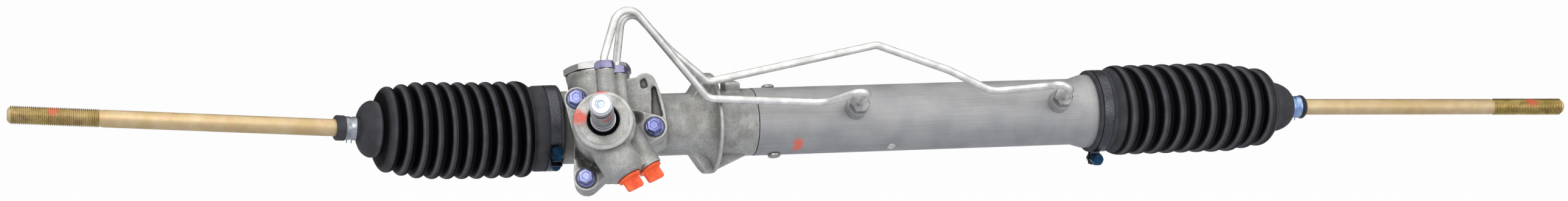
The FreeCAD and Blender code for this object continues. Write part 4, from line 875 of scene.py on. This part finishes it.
def inputShaft():
    s = inputShape
    rootR = s["rootR"] - 0.1
    outline = [
        (s["noseStart"], 0), (s["noseStart"], s["noseR"]), (s["spoolStart"], s["noseR"]),
        (s["spoolStart"], s["spoolR"]), (s["spoolEnd"], s["spoolR"]),
        (s["spoolEnd"] + 1, s["bearingR"]), (s["stubStart"] - 0.5, s["bearingR"]),
        (s["stubStart"], s["stubR"]), (s["toothStart"] - 0.6, s["stubR"]), (s["toothStart"], rootR),
        (s["grooveStart"] - 0.4, rootR), (s["grooveStart"] + 0.6, s["grooveR"]),
        (s["grooveEnd"] - 0.6, s["grooveR"]), (s["grooveEnd"] + 0.4, rootR),
        (s["end"] - s["bevel"], rootR), (s["end"], rootR - s["bevel"]), (s["end"], s["centreR"]),
        (s["end"] - s["centreDepth"], s["centreR"] - 0.6), (s["end"] - s["centreDepth"], 0),
    ]
    bm = bmesh.new()
    spinOutline(bm, outline, s["steps"])
    core = finishMesh(bm, "inputShaftCore", shaftPlace @ xToZ, smoothAngle=30)
    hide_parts("input_shaft")
    dress(core, shaftSteel, "input")
    core.data.materials.append(shaftEnd)
    core.data.materials.append(shaftGroove)
    toShaft = shaftPlace.inverted()
    for face in core.data.polygons:
        height = (toShaft @ face.center).z / mm
        if height > s["end"] - 2:
            face.material_index = 1
        elif s["grooveStart"] < height < s["grooveEnd"]:
            face.material_index = 2
    bm = bmesh.new()
    serrations(bm, s["toothStart"], s["grooveStart"])
    serrations(bm, s["grooveEnd"], s["end"] - s["bevel"])
    teeth = finishMesh(bm, "inputShaftSerrations", shaftPlace, smoothAngle=20)
    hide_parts("input_shaft")
    dress(teeth, shaftSteel, "input")


inputShaft()
print("input shaft made")


# Staked pin low on the front of the tube

pinShape = {
    "place": (122.5, -16.6, -21.3),
    "steps": 32,
    # station and radius in mm, from inside the tube's wall outwards
    "outline": ((-1.5, 0), (-1.5, 3.4), (0.5, 3.4), (1.0, 2.8), (1.0, 2.2), (0.2, 1.5), (0.0, 0)),
}


def stakedPin():
    place = Vector(pinShape["place"])
    outward = Vector((0, place.y, place.z)).normalized()
    bm = bmesh.new()
    spinOutline(bm, pinShape["outline"], pinShape["steps"])
    turn = xAxis.rotation_difference(outward).to_matrix().to_4x4()
    pin = finishMesh(bm, "stakedPin", Matrix.Translation(place * mm) @ turn, smoothAngle=30)
    dress(pin, pipeZinc, "housing")


stakedPin()
print("staked pin made")


# Collar bolts of the valve housing

boltShape = {
    "flats": 11.0, "head": 6.0, "collarR": 7.2, "collar": 1.6, "shankR": 3.95, "depth": 12.0,
    "rounding": 0.9, "rim": 1.6, "ring": 0.5, "steps": 48,
}


def hexHead(bm):
    # six-sided head with rounded top corners and a shallow ring pressed in its top
    s = boltShape
    corner = s["flats"] / 2 / math.cos(math.pi / 6)
    ring = bmesh.ops.create_circle(bm, cap_ends=True, radius=corner * mm, segments=6)["verts"]
    base = [f for f in bm.faces if all(v in ring for v in f.verts)]
    body = bmesh.ops.extrude_face_region(bm, geom=base)["geom"]
    topVerts = [g for g in body if isinstance(g, bmesh.types.BMVert)]
    bmesh.ops.translate(bm, verts=topVerts, vec=(0, 0, (s["head"] + s["collar"]) * mm))
    edges = [e for e in bm.edges if all(v in topVerts for v in e.verts)]
    bmesh.ops.bevel(bm, geom=edges, offset=s["rounding"] * mm, segments=3, profile=0.5, affect="EDGES",
                    material=-1)
    top = max(bm.faces, key=lambda f: f.calc_center_median().z)
    bmesh.ops.inset_individual(bm, faces=[top], thickness=s["rim"] * mm, depth=0)
    bmesh.ops.inset_individual(bm, faces=[top], thickness=s["ring"] * mm, depth=-s["ring"] * mm)


def housingBolts():
    s = boltShape
    outline = [
        (-s["depth"], 0), (-s["depth"], s["shankR"]), (0, s["shankR"]), (0, s["collarR"]),
        (s["collar"] * 0.6, s["collarR"]), (s["collar"], s["collarR"] - 0.9), (s["collar"], 0),
    ]
    bm = bmesh.new()
    for u, v in gearCase["boltPlaces"]:
        bolt = bmesh.new()
        spinOutline(bolt, outline, s["steps"])
        bmesh.ops.transform(bolt, matrix=xToZ, verts=bolt.verts)
        hexHead(bolt)
        placeCopy(bm, bolt, Matrix.Translation(Vector((u, v, gearCase["boltSeat"])) * mm))
    bolts = finishMesh(bm, "collarBolts", shaftPlace, smoothAngle=35)
    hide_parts("housing_bolts")
    dress(bolts, finishes["blue_zinc"], "housing")


housingBolts()
print("collar bolts made")


# Studio, in metres and degrees

studio = {
    "roomLight": "#d8dade",
    "floor": {"size": 12.0, "place": (0, 4.0, -0.16), "shade": "#f2f2f2", "glow": 0.93},
    # place, width and power of each lamp, aimed at the middle
    "lamps": {
        "keyBox": ((-1.3, -2.2, 1.7), 1.6, 26.0),
        "topBox": ((0.3, -0.3, 2.2), 2.4, 9.0),
        "fillBox": ((1.6, -2.2, 0.6), 1.4, 8.0),
    },
    # width and height, place before the camera's turn, tilt from flat
    "cards": {
        "cameraCard": {"size": (1.6, 1.2), "place": (0, -2.9, 0.1), "rise": 90, "shade": "#8e8e90"},
        "frontCard": {"size": (3.6, 1.7), "place": (0, -0.45, -0.155), "rise": 0, "shade": "#dcdee2"},
        "rearCard": {"size": (3.6, 0.9), "place": (0, 0.6, 0.3), "rise": 90, "shade": "#6c6c6e"},
    },
    "camera": {
        "turn": -16.0, "rise": 6.0, "distance": 2.33, "target": (0.038, 0.0, 0.0),
        "raise": 0.0162,      # of the camera above the line to its target
        "lens": 67.08, "sensor": 36.0,
    },
}


def seenDirectly(tree):
    # one for what the eye, a mirror or glass sees, else nothing
    path = add(tree, "LightPath")
    rays = ("Is Camera Ray", "Is Glossy Ray", "Is Transmission Ray")
    return strongest(tree, [path.outputs[ray] for ray in rays])


def reflectionCard(name, card, turn):
    # a cloth panel that only reflections see, as the walls of a studio are
    bm = bmesh.new()
    bmesh.ops.create_grid(bm, x_segments=1, y_segments=1, size=1.0)
    width, height = card["size"]
    shape = Matrix.Diagonal((width / 2, height / 2, 1, 1))
    upright = Matrix.Rotation(math.radians(card["rise"]), 4, "X")
    place = Matrix.Rotation(turn, 4, "Z") @ Matrix.Translation(card["place"]) @ upright @ shape
    panel = finishMesh(bm, name, place)
    look = {"Roughness": 1.0, "Base Color": linear(card["shade"])}
    material, tree, shader = newMaterial(name + "Cloth", look)
    panel.data.materials.append(material)
    panel.visible_camera = False
    panel.visible_diffuse = False
    panel.visible_shadow = False
    panel.visible_transmission = False


def paleRoom():
    # white to the eye and to mirrors, a little darker as the light on the object
    world = bpy.data.worlds.new("paleRoom")
    bpy.context.scene.world = world
    world.use_nodes = True
    tree = world.node_tree
    sky = tree.nodes["Background"]
    shade = layer(tree, studio["roomLight"], "#ffffff", seenDirectly(tree))
    tree.links.new(shade, sky.inputs["Color"])
    sky.inputs["Strength"].default_value = 1.0


def paleFloor():
    # matt floor, near white to the eye and in mirrors, that still takes the object's shadow
    floor = studio["floor"]
    bm = bmesh.new()
    bmesh.ops.create_grid(bm, x_segments=1, y_segments=1, size=floor["size"])
    piece = finishMesh(bm, "paleFloor", Matrix.Translation(floor["place"]))
    look = {"Roughness": 0.9, "Base Color": linear(floor["shade"])}
    material, tree, shader = newMaterial("paleSweep", look)
    glow = add(tree, "Emission", {"Color": linear("#ffffff"), "Strength": 1.0})
    share = product(tree, (seenDirectly(tree), (0, 1), (0, floor["glow"])))
    mixed = add(tree, "MixShader", {0: share, 1: shader.outputs["BSDF"], 2: glow.outputs["Emission"]})
    tree.links.new(mixed.outputs["Shader"], tree.nodes["Material Output"].inputs["Surface"])
    piece.data.materials.append(material)


def softBoxes():
    for name, (spot, size, power) in studio["lamps"].items():
        lamp = bpy.data.lights.new(name, "AREA")
        lamp.shape = "SQUARE"
        lamp.size = size
        lamp.energy = power
        holder = bpy.data.objects.new(name, lamp)
        holder.location = spot
        holder.rotation_euler = (-Vector(spot)).to_track_quat("-Z", "Y").to_euler()
        bpy.context.scene.collection.objects.link(holder)


def photoCamera(turn):
    view = studio["camera"]
    camera = bpy.data.cameras.new("photoCamera")
    camera.lens = view["lens"]
    camera.sensor_width = view["sensor"]
    camera.sensor_fit = "HORIZONTAL"
    camera.clip_end = 50
    holder = bpy.data.objects.new("photoCamera", camera)
    rise = math.radians(view["rise"])
    backward = Vector((math.sin(turn) * math.cos(rise), -math.cos(turn) * math.cos(rise), math.sin(rise)))
    right = Vector((math.cos(turn), math.sin(turn), 0))
    up = backward.cross(right)
    place = Vector(view["target"]) + up * view["raise"] + backward * view["distance"]
    holder.matrix_world = Matrix.Translation(place) @ Matrix((right, up, backward)).transposed().to_4x4()
    bpy.context.scene.collection.objects.link(holder)
    bpy.context.scene.camera = holder


cameraTurn = math.radians(studio["camera"]["turn"])
paleRoom()
paleFloor()
softBoxes()
for name, card in studio["cards"].items():
    reflectionCard(name, card, cameraTurn)
photoCamera(cameraTurn)
bpy.context.scene.view_settings.view_transform = "Standard"
print("studio made")
